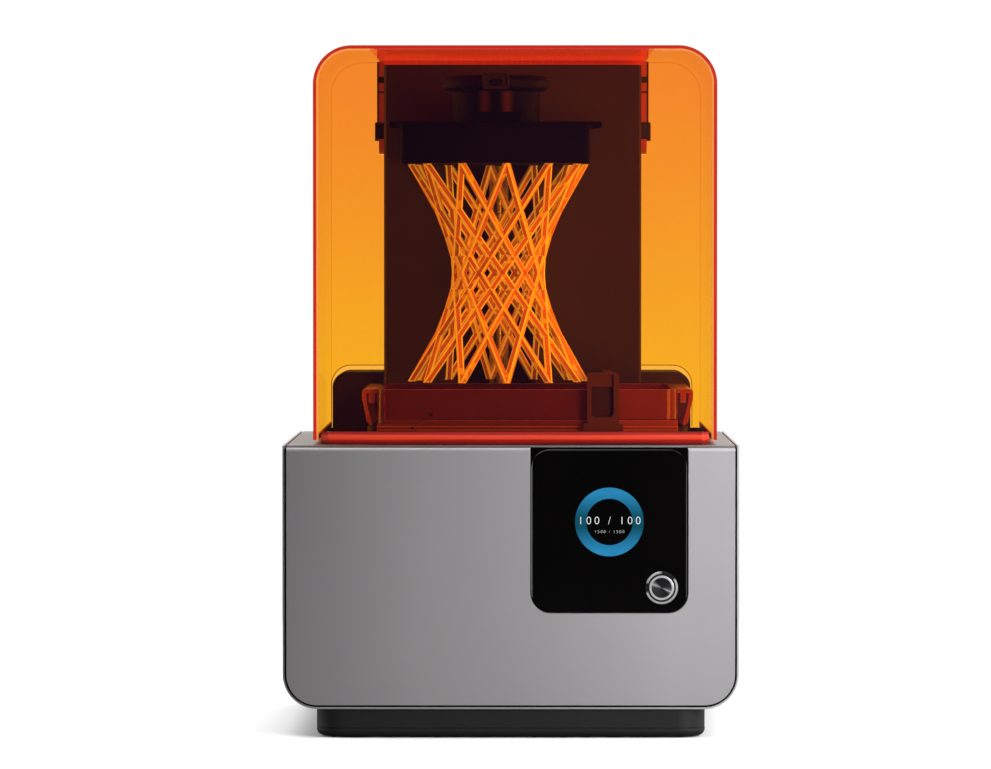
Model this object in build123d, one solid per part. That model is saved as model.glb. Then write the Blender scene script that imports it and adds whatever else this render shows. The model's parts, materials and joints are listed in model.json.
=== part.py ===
"""Desktop laser resin printer: silver base, see-through cover, build platform with a lattice print,
resin tank with its wiper, laser optics, Z tower and resin cartridge.

Millimetres, +X right, +Y back, +Z up. The origin is at the middle of the footprint, on the table.
Each sub-part is one function that returns its solids, and every node is written to parts/NODE.step.
"""
from build123d import *
import math
import os

# ---- overall sizes ----
base_w = 343.0
depth = 330.0
deck_z = 220.0
total_h = 521.0
foot_h = 1.0
plinth_top = 22.0

# ---- clearances ----
fit = 0.3            # between pieces that sit beside each other
run = 0.05           # radial, between a shaft and its bore
seam = 1.3           # visible gap round the deck
press_gap = 0.2      # radial, round the push button

# ---- base ----
sheet_t = 1.6
shell_r = 26.0
plinth_side_gap = 25.0       # from the base's side in to the plinth
plinth_front_gap = 5.0
plinth_back_gap = 10.0
plinth_r = 20.0
plinth_edge_r = 4.5
groove_z = 7.0
groove_h = 0.8
groove_depth = 0.7
foot_d = 30.0
foot_seat = 6.0
foot_inset = 34.0
panel_edge = 3.0     # from the shell's side in to the front panel's
panel_drop = 0.8     # from the deck down to the front panel's top
deck_gap = 1.0       # between the front panel and the deck
panel_t = 2.0
panel_roll_r = 3.0
panel_lip = 6.7
proud = 0.4          # how far trim stands before the panel's face
deck_t = 2.0
flange_t = 2.0
deck_flange = 14.0
back_recess = 2.5

# ---- display in the front panel ----
notch_right_gap = 38.4       # from the base's right side in to the notch
notch_w = 118.4
notch_h = 125.5
notch_r = 15.0
notch_bevel = 0.5
glass_t = 1.2
glass_margin = 0.9
glass_drop = 1.7
button_side = 19.8   # from the notch's right side to the button's centre
button_rise = 18.9   # from the notch's bottom up to it
button_d = 18.9
button_head_h = 3.0
button_rim = 2.4
button_dish = 0.35
ring_d = 24.5
ring_sleeve_d = 22.0
ring_len = 13.0
button_stem_d = 6.0
module_w = 100.0
module_h = 76.0
module_d = 10.0
module_drop = 8.0

# ---- tank bay in the deck ----
bay_left_gap = 35.5  # from the base's sides in to the bay
bay_right_gap = 29.5
bay_y0 = -133.0
bay_y1 = 57.0
bay_r = 12.0
tray_t = 2.0
tray_floor_z = 198.0
window_w = 140.0
window_d = 137.5
window_lap = 10.0
window_t = 3.0

# ---- platform, seen from above ----
platform_x = -11.7
platform_y = -27.5
platform_w = 144.6
platform_d = 145.0
platform_drop = 87.8      # from the cover's top down to the platform's underside
platform_h = 31.3
platform_r = 5.0
rim_reach = 8.7      # how far the rim stands out to the sides
rim_reach_y = 8.5
rim_t = 2.0
arm_w = 67.6
arm_h = 23.6
arm_gap = 0.5
arm_y0 = -72.0
arm_wide_y = 10.0
arm_neck_len = 12.0
tail_w = 40.0
tail_h = 8.0
tail_slope = 4.0
tail_setback = 8.0   # from the arm's front to the tongue's
tail_y1 = 0.0
lever_w = 82.6
lever_h = 12.2
lever_y1 = -50.0
lever_pivot_y = -46.0
lever_pivot_rise = 6.3
lever_pin_d = 5.0
ear_gap = 24.0
ear_t = 6.0
ear_len = 12.0
tongue_t = 8.0
tab_w = 20.4
tab_rise = 1.3
tab_lead = 1.2       # how far it stands out before the lever
tab_wall = 1.5
tab_pocket_rise = 3.5
tab_pocket_depth = 5.0
knob_d = 5.0
knob_len = 10.0

# ---- cover ----
cover_x = 3.2
cover_inset = 38.6   # how much narrower than the base it is
cover_wall = 3.2
cover_r = 29.0
cover_y0 = -145.0
cover_y1 = 160.0
cover_z0 = 223.7
lip_inset = 12.0
lip_h = 9.6
lip_d = 6.0
lip_z0 = 220.4
hinge_y = 140.0
hinge_drop = 60.0    # from the cover's top down to its pivot
hinge_pin_d = 8.0
hinge_head_d = 13.2
hinge_head_t = 3.2
hinge_arm_t = 5.2
hinge_arm_d = 40.0
hinge_arm_drop = 17.0
hinge_arm_r = 14.0
hinge_gap = 0.4      # between the arms and the tower
notch_side = 0.8
roof_notch_r = 6.0
wing_clear = 3.3     # between the cover's back and the wings

# ---- tower ----
tower_x = 0.9
tower_w = 203.4
tower_y0 = 60.0
tower_y1 = 158.0
tower_gap = 8.0      # from the tower's top up to the cover's
tower_wall = 3.0
tower_r = 6.0
front_t = 2.0
slot_w = 56.0
slot_z0 = 250.0
slot_drop = 15.0
slot_r = 6.0
mid_wall_y = 95.0
cartridge_bay_w = 126.0
cartridge_floor_z = 262.0
window_rise = 38.0   # from the cartridge's floor up to the rear window
window_drop = 33.0   # from the tower's top down to it
rear_window_w = 80.0
rear_window_r = 20.0
wing_gap = 29.5      # from the base's sides in to the wings
wing_y0 = 75.0
wing_h = 50.0
wing_r = 12.0

# ---- Z drive ----
screw_x = -10.0
screw_y = 70.0
screw_d = 8.0
screw_drop = 7.0     # from the tower's top down to the screw's end
bearing_w = 30.0
bearing_h = 10.0
coupling_d = 19.0
coupling_z0 = 194.5
coupling_h = 22.0
motor_w = 42.0
motor_h = 40.0
motor_z1 = 190.0
motor_shaft_d = 5.0
motor_boss_d = 22.0
motor_boss_h = 2.0
bracket_side = 6.0
bracket_t = 3.0
rail_w = 15.0
rail_d = 10.0
rail_foot = 12.0
rail_hole_d = 4.5
rail_hole_rise = 22.0
rail_hole_pitch = 25.0
rail_block_w = 34.0
block_wall = 5.0
carriage_w = 50.0
carriage_below = 13.0     # below the arm's underside
carriage_above = 1.8      # above the arm's top
nut_flange_d = 22.0
nut_flange_h = 4.0
nut_d = 12.0
nut_h = 14.0

# ---- resin tank, its carrier and its wiper ----
tank_x = 12.6
tank_inset = 115.4   # how much narrower than the base it is
tank_y0 = -130.0
tank_y1 = 55.0
tank_z0 = 233.0
tank_z1 = 261.5
tank_wall = 4.5
tank_floor = 2.5
tank_r = 10.0
grip_w = 11.8
grip_t = 3.0
grip_lean = 3.7
grip_rise = 0.6      # from the carrier's top up to the grips
grip_knee = 8.7      # from the rim down to the grip's bend
grip_step = 0.8
grip_curl = 3.0
grip_rib_w = 4.1
grip_rib_h = 7.5
skirt_t = 1.6
skirt_low = 6.0      # below the tank's underside
skirt_high = 5.4
skirt_step = 3.4
skirt_low_w = 32.0
tank_window_side = 23.0
tank_window_end = 15.0
tank_window_r = 8.0
film_t = 0.8
carrier_margin = 7.7      # how far it stands out beside the tank
carrier_lap = 16.0   # how far it reaches in under the tank
carrier_t = 7.0
carrier_r = 12.0
rod_d = 8.0
rod_z = 207.0
rod_inset = 10.0     # from the bay's front to the front rod
lug_len = 24.0
lug_d = 16.0
peel_screw_d = 6.0
peel_motor_w = 20.0
peel_motor_len = 26.0
wiper_x = 69.8
wiper_w = 24.0
wiper_y0 = -138.5
wiper_t = 6.0
wiper_top = 274.3
wiper_foot_w = 30.0
wiper_foot_h = 6.0
wiper_left_bar = 3.2
wiper_right_bar = 4.1
wiper_window_rise = 10.7
wiper_mount_top = 230.0
bridge_w = 7.5
bridge_side = 2.9
blade_tip_w = 1.0
bridge_z0 = 263.6
bridge_z1 = 272.6
blade_t = 4.0
wiper_rail_w = 4.0
wiper_rail_h = 5.0
wiper_rail_inset = 62.0   # how much shorter than the bay's width

# ---- printed lattice ----
lattice_gap = 3.7    # between the tank's rim and the print
lattice_r = 67.0
lattice_bars = 12
lattice_twist = 120.0
lattice_bar_d = 5.0
lattice_first = 5.7
lattice_x = -10.0
lattice_y = -28.0

# ---- resin cartridge ----
cartridge_w = 120.0
cartridge_d = 55.0
cartridge_drop = 18.0     # from the tower's top down to the cartridge's
cartridge_r = 12.0
grip_drop = 34.0
grip_h = 18.0
valve_d = 16.0
valve_h = 12.0
cap_x = 34.0
cap_w = 26.0
cap_d = 22.0
cap_h = 8.0
cap_knuckle_d = 6.0

# ---- optics ----
beam_z = 112.0
cheek_t = 5.0
bench_spare = 0.4    # beyond the right cheek
bench_y0 = -115.0
bench_y1 = 116.0
bench_z0 = 34.0
bench_t = 8.0
mirror_w = 136.6
mirror_h = 112.0
mirror_t = 5.0
galvo_y = 74.0
galvo_d = 14.0
galvo_gap = 8.0      # from the beam to the scanner motors
galvo_rise = 12.0
galvo_len = 24.0
scan_y = 98.0
galvo_shaft_d = 3.0
scan_mirror_t = 1.6
laser_gap = 24.0     # from the beam's turn to the lens barrel
barrel_len = 10.0
barrel_d = 14.0
laser_h = 22.0

# ---- rear of the base ----
fan_inset = 71.5     # from the base's left side in to the fan's centre
fan_z = 120.0
fan_w = 60.0
fan_t = 15.0
fan_bore = 56.0
fan_hub_d = 26.0
fan_blades = 7
fan_shaft_d = 4.0
board_side_gap = 26.9     # from the shell's inside to the board or the supply
board_bench_gap = 6.0
board_y0 = -110.0
board_y1 = 78.0
board_t = 1.6
standoff_d = 6.0
standoff_h = 6.0
chip_first = 22.0
chip_pitch = 32.0
chip_w = 16.0
chip_h = 2.5
plug_w = 21.0
plug_d = 9.0
plug_h = 9.5
coil_w = 14.0
coil_h = 12.0
supply_bench_gap = 5.0
supply_y0 = 10.0
supply_y1 = 138.0
supply_h = 34.0
supply_lid_t = 1.2
supply_lid_lap = 0.8
inlet_depth = 17.0
inlet_pin_gap = 5.0
inlet_inset = 59.5   # from the base's right side in to the inlet's centre
inlet_z = 72.0
inlet_w = 28.0
inlet_h = 20.0
inlet_body_d = 18.0
inlet_flange_w = 48.0
inlet_flange_h = 24.0
switch_z = 112.0
switch_w = 20.0
switch_h = 13.0
switch_body_d = 12.0
rocker_tip = 16.0
ports_x = 40.0
ports_z = 60.0
port_half_gap = 12.0
vent_x = -44.0
vent_z = 150.0
vent_len = 44.0
vent_w = 4.0
vent_pitch = 11.0
vent_count = 9
fan_slot_pitch = 7.0
screw_head_d = 5.5
screw_head_h = 1.6
screw_inset = 9.0
screw_low_z = 60.0
screw_pitch = 70.0
screw_bottom_z = 32.0

# ---- places worked out from the sizes above ----
front_y = -depth / 2
back_y = depth / 2
panel_y0 = front_y + proud + 0.2
panel_y1 = panel_y0 + panel_t
shell_y0 = panel_y1 + 0.4
shell_y1 = back_y - 2.0
bulkhead_y1 = panel_y1 + flange_t
back_panel_y1 = back_y - back_recess
back_panel_y0 = back_panel_y1 - flange_t
shell_in = base_w / 2 - sheet_t
floor_z = plinth_top + sheet_t
deck_under = deck_z - deck_t
plinth_w = base_w - 2 * plinth_side_gap
plinth_d = depth - plinth_front_gap - plinth_back_gap
plinth_mid_y = front_y + plinth_front_gap + plinth_d / 2
panel_top = deck_z - panel_drop
notch_x1 = base_w / 2 - notch_right_gap
notch_x0 = notch_x1 - notch_w
notch_z = deck_z - notch_h
button_x = notch_x1 - button_side
button_z = notch_z + button_rise
module_x0 = notch_x0 + (notch_w - module_w) / 2
module_z0 = deck_under - module_h - module_drop
bay_x0 = bay_left_gap - base_w / 2
bay_x1 = base_w / 2 - bay_right_gap
bay_w = bay_x1 - bay_x0
bay_d = bay_y1 - bay_y0
cover_w = base_w - cover_inset
cover_x0 = cover_x - cover_w / 2
cover_x1 = cover_x + cover_w / 2
cover_inner_top = total_h - cover_wall
tower_x0 = tower_x - tower_w / 2
tower_x1 = tower_x + tower_w / 2
tower_top = total_h - tower_gap
tower_roof = tower_top - tower_wall
hinge_z = total_h - hinge_drop
hinge_x0 = tower_x0 - hinge_gap - hinge_arm_t
hinge_x1 = tower_x1 + hinge_gap + hinge_arm_t
wing_reach = base_w / 2 - wing_gap
wing_top = deck_z + wing_h
platform_z = total_h - platform_drop
platform_top = platform_z + platform_h
nose_y = arm_y0 + arm_w / 2
arm_z0 = platform_top + arm_gap
arm_z1 = arm_z0 + arm_h
lever_z0 = arm_z1 + fit
lever_z1 = lever_z0 + lever_h
lever_pivot_z = lever_z0 + lever_pivot_rise
lever_pin_half = ear_gap / 2 + ear_t
lever_r = math.hypot(lever_w / 2, lever_y1 - nose_y)
lever_front = nose_y - lever_r
carriage_z0 = arm_z0 - carriage_below
carriage_z1 = arm_z1 + carriage_above
slot_z1 = tower_top - slot_drop
screw_top = tower_top - screw_drop
cartridge_top = tower_top - cartridge_drop
tank_w = base_w - tank_inset
carrier_w = tank_w + 2 * carrier_margin
tray_z0 = tray_floor_z - tray_t
tank_mid_y = (tank_y0 + tank_y1) / 2
carrier_z0 = tank_z0 - carrier_t
carrier_y0 = tank_y0
carrier_y1 = bay_y1 - 3.0
front_rod_y = bay_y0 + rod_inset
rear_rod_y = carrier_y1 - lug_d / 2
peel_screw_y = front_rod_y + 17.0
blade_y1 = tank_y1 - tank_wall - 4
lattice_z0 = tank_z1 + lattice_gap
cartridge_y = (mid_wall_y + tower_y1) / 2
bench_x0 = platform_x - mirror_w / 2 - cheek_t
bench_x1 = platform_x + mirror_w / 2 + cheek_t + bench_spare
bench_top = bench_z0 + bench_t
seat_z = beam_z - galvo_gap - galvo_rise
board_x0 = board_side_gap - shell_in
board_x1 = bench_x0 - board_bench_gap
supply_x0 = bench_x1 + supply_bench_gap
supply_x1 = shell_in - board_side_gap
fan_x = fan_inset - base_w / 2
inlet_x = base_w / 2 - inlet_inset


# ---- drawing helpers ----
def block(x0, x1, y0, y1, z0, z1):
    """A box between two corners."""
    middle = ((x0 + x1) / 2, (y0 + y1) / 2, (z0 + z1) / 2)
    return Pos(*middle) * Box(x1 - x0, y1 - y0, z1 - z0)


def outline(u0, u1, v0, v1, low_r=0.0, high_r=0.0):
    """A rectangle whose lower and upper corners have their own radii."""
    face = Pos((u0 + u1) / 2, (v0 + v1) / 2) * Rectangle(u1 - u0, v1 - v0)
    if low_r:
        face = fillet(face.vertices().group_by(Axis.Y)[0], low_r)
    if high_r:
        face = fillet(face.vertices().group_by(Axis.Y)[-1], high_r)
    return face


def along_y(face, y0, y1):
    """Pushes an outline drawn in X and Z from y0 to y1."""
    plane = Plane(origin=(0, y1, 0), x_dir=(1, 0, 0), z_dir=(0, -1, 0))
    return extrude(plane * face, y1 - y0)


def along_z(face, z0, z1):
    """Pushes an outline drawn in X and Y from z0 to z1."""
    return extrude(Plane.XY.offset(z0) * face, z1 - z0)


def along_x(face, x0, x1):
    """Pushes an outline drawn in Y and Z from x0 to x1."""
    return extrude(Plane.YZ.offset(x0) * face, x1 - x0)


def rod_x(d, x0, x1, y, z):
    """A round bar along X."""
    return along_x(Pos(y, z) * Circle(d / 2), x0, x1)


def rod_y(d, y0, y1, x, z):
    """A round bar along Y."""
    return along_y(Pos(x, z) * Circle(d / 2), y0, y1)


def rod_z_at(d, z0, z1, x, y):
    """A round bar along Z."""
    return along_z(Pos(x, y) * Circle(d / 2), z0, z1)


def edges_at(part, axis, y=None, z=None, x=None):
    """Straight edges along an axis that lie at a given place."""
    found = part.edges().filter_by(axis)
    for wanted, name in ((x, "X"), (y, "Y"), (z, "Z")):
        if wanted is not None:
            found = [e for e in found if abs(getattr(e.center(), name) - wanted) < 1e-3]
    return ShapeList(found)


# ---- base ----
def plinth():
    """Black foot of the base: rounded block with a shadow groove and a pocket for each foot."""
    body = along_z(RectangleRounded(plinth_w, plinth_d, plinth_r), foot_h, plinth_top)
    body = Pos(0, plinth_mid_y, 0) * body
    body = fillet(body.faces().sort_by(Axis.Z)[0].edges(), plinth_edge_r)
    ring = RectangleRounded(plinth_w + 2, plinth_d + 2, plinth_r)
    ring -= RectangleRounded(plinth_w - 2 * groove_depth, plinth_d - 2 * groove_depth, plinth_r)
    body -= Pos(0, plinth_mid_y, 0) * along_z(ring, groove_z, groove_z + groove_h)
    for x, y in foot_places():
        body -= rod_z_at(foot_d + 2 * fit, 0, foot_h + foot_seat, x, y)
    return body


def foot_places():
    """Centres of the four feet."""
    x = plinth_w / 2 - foot_inset
    y = plinth_d / 2 - foot_inset
    return [(sx * x, plinth_mid_y + sy * y) for sx in (-1, 1) for sy in (-1, 1)]


def rubber_feet():
    """Four round rubber feet."""
    feet = []
    for x, y in foot_places():
        foot = rod_z_at(foot_d, 0, foot_h + foot_seat, x, y)
        feet.append(chamfer(foot.edges().sort_by(Axis.Z)[0], 0.6))
    return feet


def outer_shell():
    """Silver sheet that wraps both sides and the bottom of the base."""
    half = base_w / 2
    outside = outline(-half, half, plinth_top, deck_z, low_r=shell_r)
    inside = outline(-shell_in, shell_in, floor_z, deck_z + 10, low_r=shell_r - sheet_t)
    return along_y(outside - inside, shell_y0, shell_y1)


def panel_outline(half, z0, z1, radius):
    """Face outline of the panels that close the shell's ends."""
    return outline(-half, half, z0, z1, low_r=radius)


def front_panel():
    """Silver front panel, rolled back along its top, with the display's notch."""
    half = base_w / 2 - panel_edge
    face = panel_outline(half, plinth_top + panel_edge, panel_top, shell_r - panel_edge)
    body = along_y(face, panel_y0, panel_y1)
    body += block(-half, half, panel_y0, panel_y0 + panel_lip, deck_under, panel_top)
    body = fillet(edges_at(body, Axis.X, y=panel_y0, z=panel_top), panel_roll_r)
    notch = outline(notch_x0, notch_x1, notch_z, deck_z + 10, low_r=notch_r)
    plane = Plane(origin=(0, panel_y0 + notch_bevel, 0), x_dir=(1, 0, 0), z_dir=(0, -1, 0))
    body -= extrude(plane * notch, notch_bevel + 0.01, taper=-45)
    return body - along_y(notch, front_y - 5, panel_y0 + panel_lip + 5)


def front_bulkhead():
    """Black plate behind the front panel, which carries the display and the front of the deck."""
    half = shell_in - fit
    body = along_y(panel_outline(half, floor_z, deck_under, shell_r - sheet_t), panel_y1, bulkhead_y1)
    body += block(-half + 1, half - 1, bulkhead_y1, bulkhead_y1 + deck_flange,
                  deck_under - flange_t, deck_under)
    body -= block(module_x0 - 1, module_x0 + module_w + 1, panel_y1 - 1, bulkhead_y1 + 1,
                  module_z0 - 1, module_z0 + module_h + 1)
    body -= rod_y(ring_sleeve_d + 2 * fit, panel_y1 - 1, bulkhead_y1 + 1, button_x, button_z)
    return body


def display_bezel():
    """Dark frame that fills the notch behind the glass, with the screen's housing on its back."""
    y1 = panel_y1
    y0 = front_y + proud + glass_t
    face = outline(notch_x0 + fit, notch_x1 - fit, notch_z + fit, panel_top - fit, low_r=notch_r - fit)
    unit = block(module_x0, module_x0 + module_w, y1, y1 + module_d, module_z0, module_z0 + module_h)
    body = along_y(face, y0, y1) + fillet(unit.edges().filter_by(Axis.Y), 2)
    return body - rod_y(ring_sleeve_d + 2 * fit, y0 - 1, y1 + 1, button_x, button_z)


def display_glass():
    """Black glass with four rounded corners and a hole for the button."""
    y0 = front_y + proud
    face = outline(notch_x0 + glass_margin, notch_x1 - glass_margin, notch_z + glass_margin,
                   panel_top - glass_drop, notch_r - glass_margin, notch_r - glass_margin)
    face -= Pos(button_x, button_z) * Circle(ring_d / 2 + press_gap)
    return along_y(face, y0, y0 + glass_t)


def button_ring():
    """Ring round the button, with the sleeve that guides it."""
    y0 = front_y
    seat = front_y + proud + glass_t
    end = seat + ring_len
    ring = rod_y(ring_d, y0, seat, button_x, button_z)
    ring += rod_y(ring_sleeve_d, seat, end, button_x, button_z)
    ring = chamfer(ring.edges().sort_by(Axis.Y)[0], 0.3)
    ring -= rod_y(button_d + 2 * press_gap, y0 - 1, end - 2, button_x, button_z)
    return ring - rod_y(button_stem_d + 2 * run, y0 - 1, end + 1, button_x, button_z)


def power_button():
    """Round push button with a raised rim and its guide stem."""
    y0 = front_y + 0.2
    end = front_y + proud + glass_t + ring_len
    head = rod_y(button_d, y0, y0 + button_head_h, button_x, button_z)
    head = fillet(head.edges().sort_by(Axis.Y)[0], 0.5)
    head -= rod_y(button_d - 2 * button_rim, y0 - 1, y0 + button_dish, button_x, button_z)
    return head + rod_y(button_stem_d, y0 + button_head_h, end, button_x, button_z)


def deck():
    """Silver top of the base, with turned-down sides and the tank bay's opening."""
    half = shell_in - seam
    y0 = panel_y0 + panel_lip + deck_gap
    y1 = back_panel_y1
    body = block(-half, half, y0, y1, deck_under, deck_z)
    for x0 in (-half, half - sheet_t):
        body += block(x0, x0 + sheet_t, y0 + deck_flange, y1 - deck_flange,
                      deck_under - deck_flange, deck_under)
    body -= along_z(bay_place() * RectangleRounded(bay_w, bay_d, bay_r), deck_under - 1, deck_z + 1)
    return body - rod_z_at(coupling_d + 4, deck_under - 1, deck_z + 1, screw_x, screw_y)


def bay_place():
    """Centre of the tank's bay."""
    return Pos((bay_x0 + bay_x1) / 2, (bay_y0 + bay_y1) / 2)


def bay_tray():
    """Black pan below the deck, with the laser's window in its floor."""
    outside = RectangleRounded(bay_w + 2 * tray_t, bay_d + 2 * tray_t, bay_r + tray_t)
    body = along_z(bay_place() * outside, tray_z0, deck_under)
    body -= along_z(bay_place() * RectangleRounded(bay_w, bay_d, bay_r), tray_floor_z, deck_under + 1)
    body -= along_z(window_place() * RectangleRounded(window_w, window_d, 6), tray_z0 - 1, tray_floor_z + 1)
    for y in (front_rod_y, rear_rod_y):
        body -= rod_x(rod_d + 2 * run, bay_x0 - tray_t - 1, bay_x1 + tray_t + 1, y, rod_z)
    return body - rod_x(peel_screw_d + 1, bay_x0 - 5, bay_x0 + 5, peel_screw_y, rod_z)


def window_place():
    """Centre of the laser's window."""
    return Pos(platform_x, platform_y + 1)


def laser_window():
    """Glass plate under the tray's opening."""
    plate = RectangleRounded(window_w + 2 * window_lap, window_d + 2 * window_lap, 6)
    return along_z(window_place() * plate, tray_z0 - window_t, tray_z0)


def back_panel():
    """Black rear panel with the fan's slots and holes for the inlet, the switch and the ports."""
    half = shell_in - fit
    face = panel_outline(half, floor_z, deck_under, shell_r - sheet_t)
    body = along_y(face, back_panel_y0, back_panel_y1)
    body += block(-half + 1, half - 1, back_panel_y0 - deck_flange + 2, back_panel_y0,
                  deck_under - flange_t, deck_under)
    y0 = back_panel_y0 - 1
    y1 = back_panel_y1 + 1
    for step in range(-3, 4):
        rise = step * fan_slot_pitch
        chord = 2 * math.sqrt((fan_bore / 2 - 1) ** 2 - rise ** 2)
        body -= along_y(Pos(fan_x, fan_z + rise) * SlotOverall(chord, vent_w), y0, y1)
    for column in range(vent_count):
        slot = Pos(vent_x + column * vent_pitch, vent_z) * SlotOverall(vent_len, vent_w, rotation=90)
        body -= along_y(slot, y0, y1)
    for z, w, h in ((inlet_z, inlet_w, inlet_h), (switch_z, switch_w, switch_h)):
        half_w = w / 2 + fit
        half_h = h / 2 + fit
        body -= block(inlet_x - half_w, inlet_x + half_w, y0, y1, z - half_h, z + half_h)
    for x, w, h in port_places():
        body -= block(x - w / 2 - fit, x + w / 2 + fit, y0, y1, ports_z - fit, ports_z + h + fit)
    return body


def port_places():
    """Centre, width and height of the two data sockets."""
    return [(ports_x - port_half_gap, 16.0, 13.5), (ports_x + port_half_gap, 12.0, 11.0)]


# ---- cover ----
def cover_outline(inset):
    """Arch outline of the cover, set in by a given amount."""
    return outline(cover_x0 + inset, cover_x1 - inset, cover_z0, total_h - inset, high_r=cover_r - inset)


def cover_wrap():
    """See-through arch: sides, top and partial back, open at the back for the tower and the wings."""
    inside = outline(cover_x0 + cover_wall, cover_x1 - cover_wall, cover_z0 - 10, cover_inner_top,
                     high_r=cover_r - cover_wall)
    body = along_y(cover_outline(0) - inside, cover_y0 + cover_wall, cover_y1)
    back = cover_outline(0) - outline(hinge_x0 - fit, hinge_x1 + fit, cover_z0 - 1, cover_inner_top)
    reach = wing_reach + wing_clear
    back -= outline(-reach, reach, cover_z0 - 1, wing_top + wing_clear, high_r=wing_r + wing_clear)
    body += along_y(back, cover_y1 - cover_wall, cover_y1)
    notch = outline(tower_x0 - notch_side, tower_x1 + notch_side, mid_wall_y, cover_y1 + 1,
                    low_r=roof_notch_r)
    return body - along_z(notch, cover_inner_top - 1, total_h + 1)


def cover_front():
    """See-through front sheet of the cover."""
    return along_y(cover_outline(0), cover_y0, cover_y0 + cover_wall)


def cover_lip():
    """Thick finger bar along the cover's lower front edge."""
    half = (cover_w - lip_inset) / 2
    y0 = cover_y0 - lip_d
    bar = block(cover_x - half, cover_x + half, y0, cover_y0, lip_z0, lip_z0 + lip_h)
    return chamfer(edges_at(bar, Axis.Z, y=y0), lip_d - 0.5)


def hinge_arms():
    """Two hanging plates under the cover's roof, each with its pivot hole."""
    arms = []
    y0 = hinge_y - hinge_arm_d / 2
    for x0 in (hinge_x0, hinge_x1 - hinge_arm_t):
        face = outline(y0, y0 + hinge_arm_d, hinge_z - hinge_arm_drop, cover_inner_top, low_r=hinge_arm_r)
        face -= Pos(hinge_y, hinge_z) * Circle(hinge_pin_d / 2 + run)
        arms.append(along_x(face, x0, x0 + hinge_arm_t))
    return arms


def hinge_pins():
    """Headed pins that stand out of the tower's sides and carry the cover."""
    pins = []
    for wall_x, side in ((tower_x0, -1), (tower_x1, 1)):
        shaft = hinge_gap + hinge_arm_t + fit
        ends = sorted((wall_x, wall_x + side * shaft))
        pin = rod_x(hinge_pin_d, ends[0], ends[1], hinge_y, hinge_z)
        ends = sorted((wall_x + side * shaft, wall_x + side * (shaft + hinge_head_t)))
        pin += rod_x(hinge_head_d, ends[0], ends[1], hinge_y, hinge_z)
        pins.append(pin)
    return pins


# ---- tower ----
def tower_shell():
    """Moulded tower: the drive's space with the screw's top bearing, and the cartridge's bay behind."""
    y0 = tower_y0 + front_t
    plan = outline(tower_x0, tower_x1, y0, tower_y1, high_r=tower_r)
    body = along_z(plan, deck_z, tower_top)
    inner_x0 = tower_x0 + tower_wall
    inner_x1 = tower_x1 - tower_wall
    body -= block(inner_x0, inner_x1, y0 - 1, mid_wall_y, deck_z - 1, tower_roof)
    bearing = tower_roof - bearing_h
    body += block(screw_x - bearing_w / 2, screw_x + bearing_w / 2, screw_y - screw_d, mid_wall_y,
                  bearing, tower_roof)
    body -= rod_z_at(screw_d + 2 * run, bearing - 1, screw_top + 0.5, screw_x, screw_y)
    bay0 = tower_x - cartridge_bay_w / 2
    bay1 = tower_x + cartridge_bay_w / 2
    back0 = mid_wall_y + tower_wall
    back1 = tower_y1 - tower_wall
    for x0, x1 in ((inner_x0, bay0 - tower_wall), (bay1 + tower_wall, inner_x1)):
        body -= block(x0, x1, back0, back1, deck_z - 1, tower_roof)
    bay = Pos(tower_x, cartridge_y) * RectangleRounded(cartridge_bay_w, back1 - back0, cartridge_r)
    body -= along_z(bay, cartridge_floor_z, tower_top + 1)
    body -= rod_z_at(valve_d + 10, deck_z - 1, cartridge_floor_z + 1, tower_x, cartridge_y)
    window = outline(tower_x - rear_window_w / 2, tower_x + rear_window_w / 2,
                     cartridge_floor_z + window_rise, tower_top - window_drop, rear_window_r, rear_window_r)
    return body - along_y(window, back1 - 1, tower_y1 + 1)


def tower_front():
    """Front cover of the tower, with the slot that the arm travels in."""
    face = outline(tower_x0, tower_x1, deck_z, tower_top)
    body = along_y(face, tower_y0, tower_y0 + front_t)
    body = chamfer(edges_at(body, Axis.Z, y=tower_y0), 1.8)
    slot = outline(screw_x - slot_w / 2, screw_x + slot_w / 2, slot_z0, slot_z1, slot_r, slot_r)
    return body - along_y(slot, tower_y0 - 1, tower_y0 + front_t + 1)


def rear_wings():
    """Low black housings on both sides of the tower."""
    wings = []
    for x0, x1, side in ((-wing_reach, tower_x0 - fit, -1), (tower_x1 + fit, wing_reach, 1)):
        wing = block(x0, x1, wing_y0, tower_y1, deck_z, wing_top)
        wings.append(fillet(edges_at(wing, Axis.Y, x=side * wing_reach, z=wing_top), wing_r))
    return wings


def z_motor():
    """Stepper motor below the deck, with its boss and shaft."""
    half = motor_w / 2
    body = block(screw_x - half, screw_x + half, screw_y - half, screw_y + half,
                 motor_z1 - motor_h, motor_z1)
    body = chamfer(body.edges().filter_by(Axis.Z), 3)
    body += rod_z_at(motor_boss_d, motor_z1, motor_z1 + motor_boss_h, screw_x, screw_y)
    return body + rod_z_at(motor_shaft_d, motor_z1, coupling_z0 + 9, screw_x, screw_y)


def motor_bracket():
    """Bracket that hangs the motor from the deck."""
    x0 = screw_x - motor_w / 2 - bracket_side
    x1 = screw_x + motor_w / 2 + bracket_side
    y0 = bay_y1 + tray_t + 1.5
    y1 = screw_y + motor_w / 2 + 2
    plate = block(x0, x1, y0, y1, motor_z1, motor_z1 + bracket_t)
    plate -= rod_z_at(motor_boss_d + 2 * fit, motor_z1 - 1, motor_z1 + bracket_t + 1, screw_x, screw_y)
    for side in (x0, x1 - bracket_t):
        plate += block(side, side + bracket_t, y0, y1, motor_z1, deck_under)
    return plate


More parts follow.
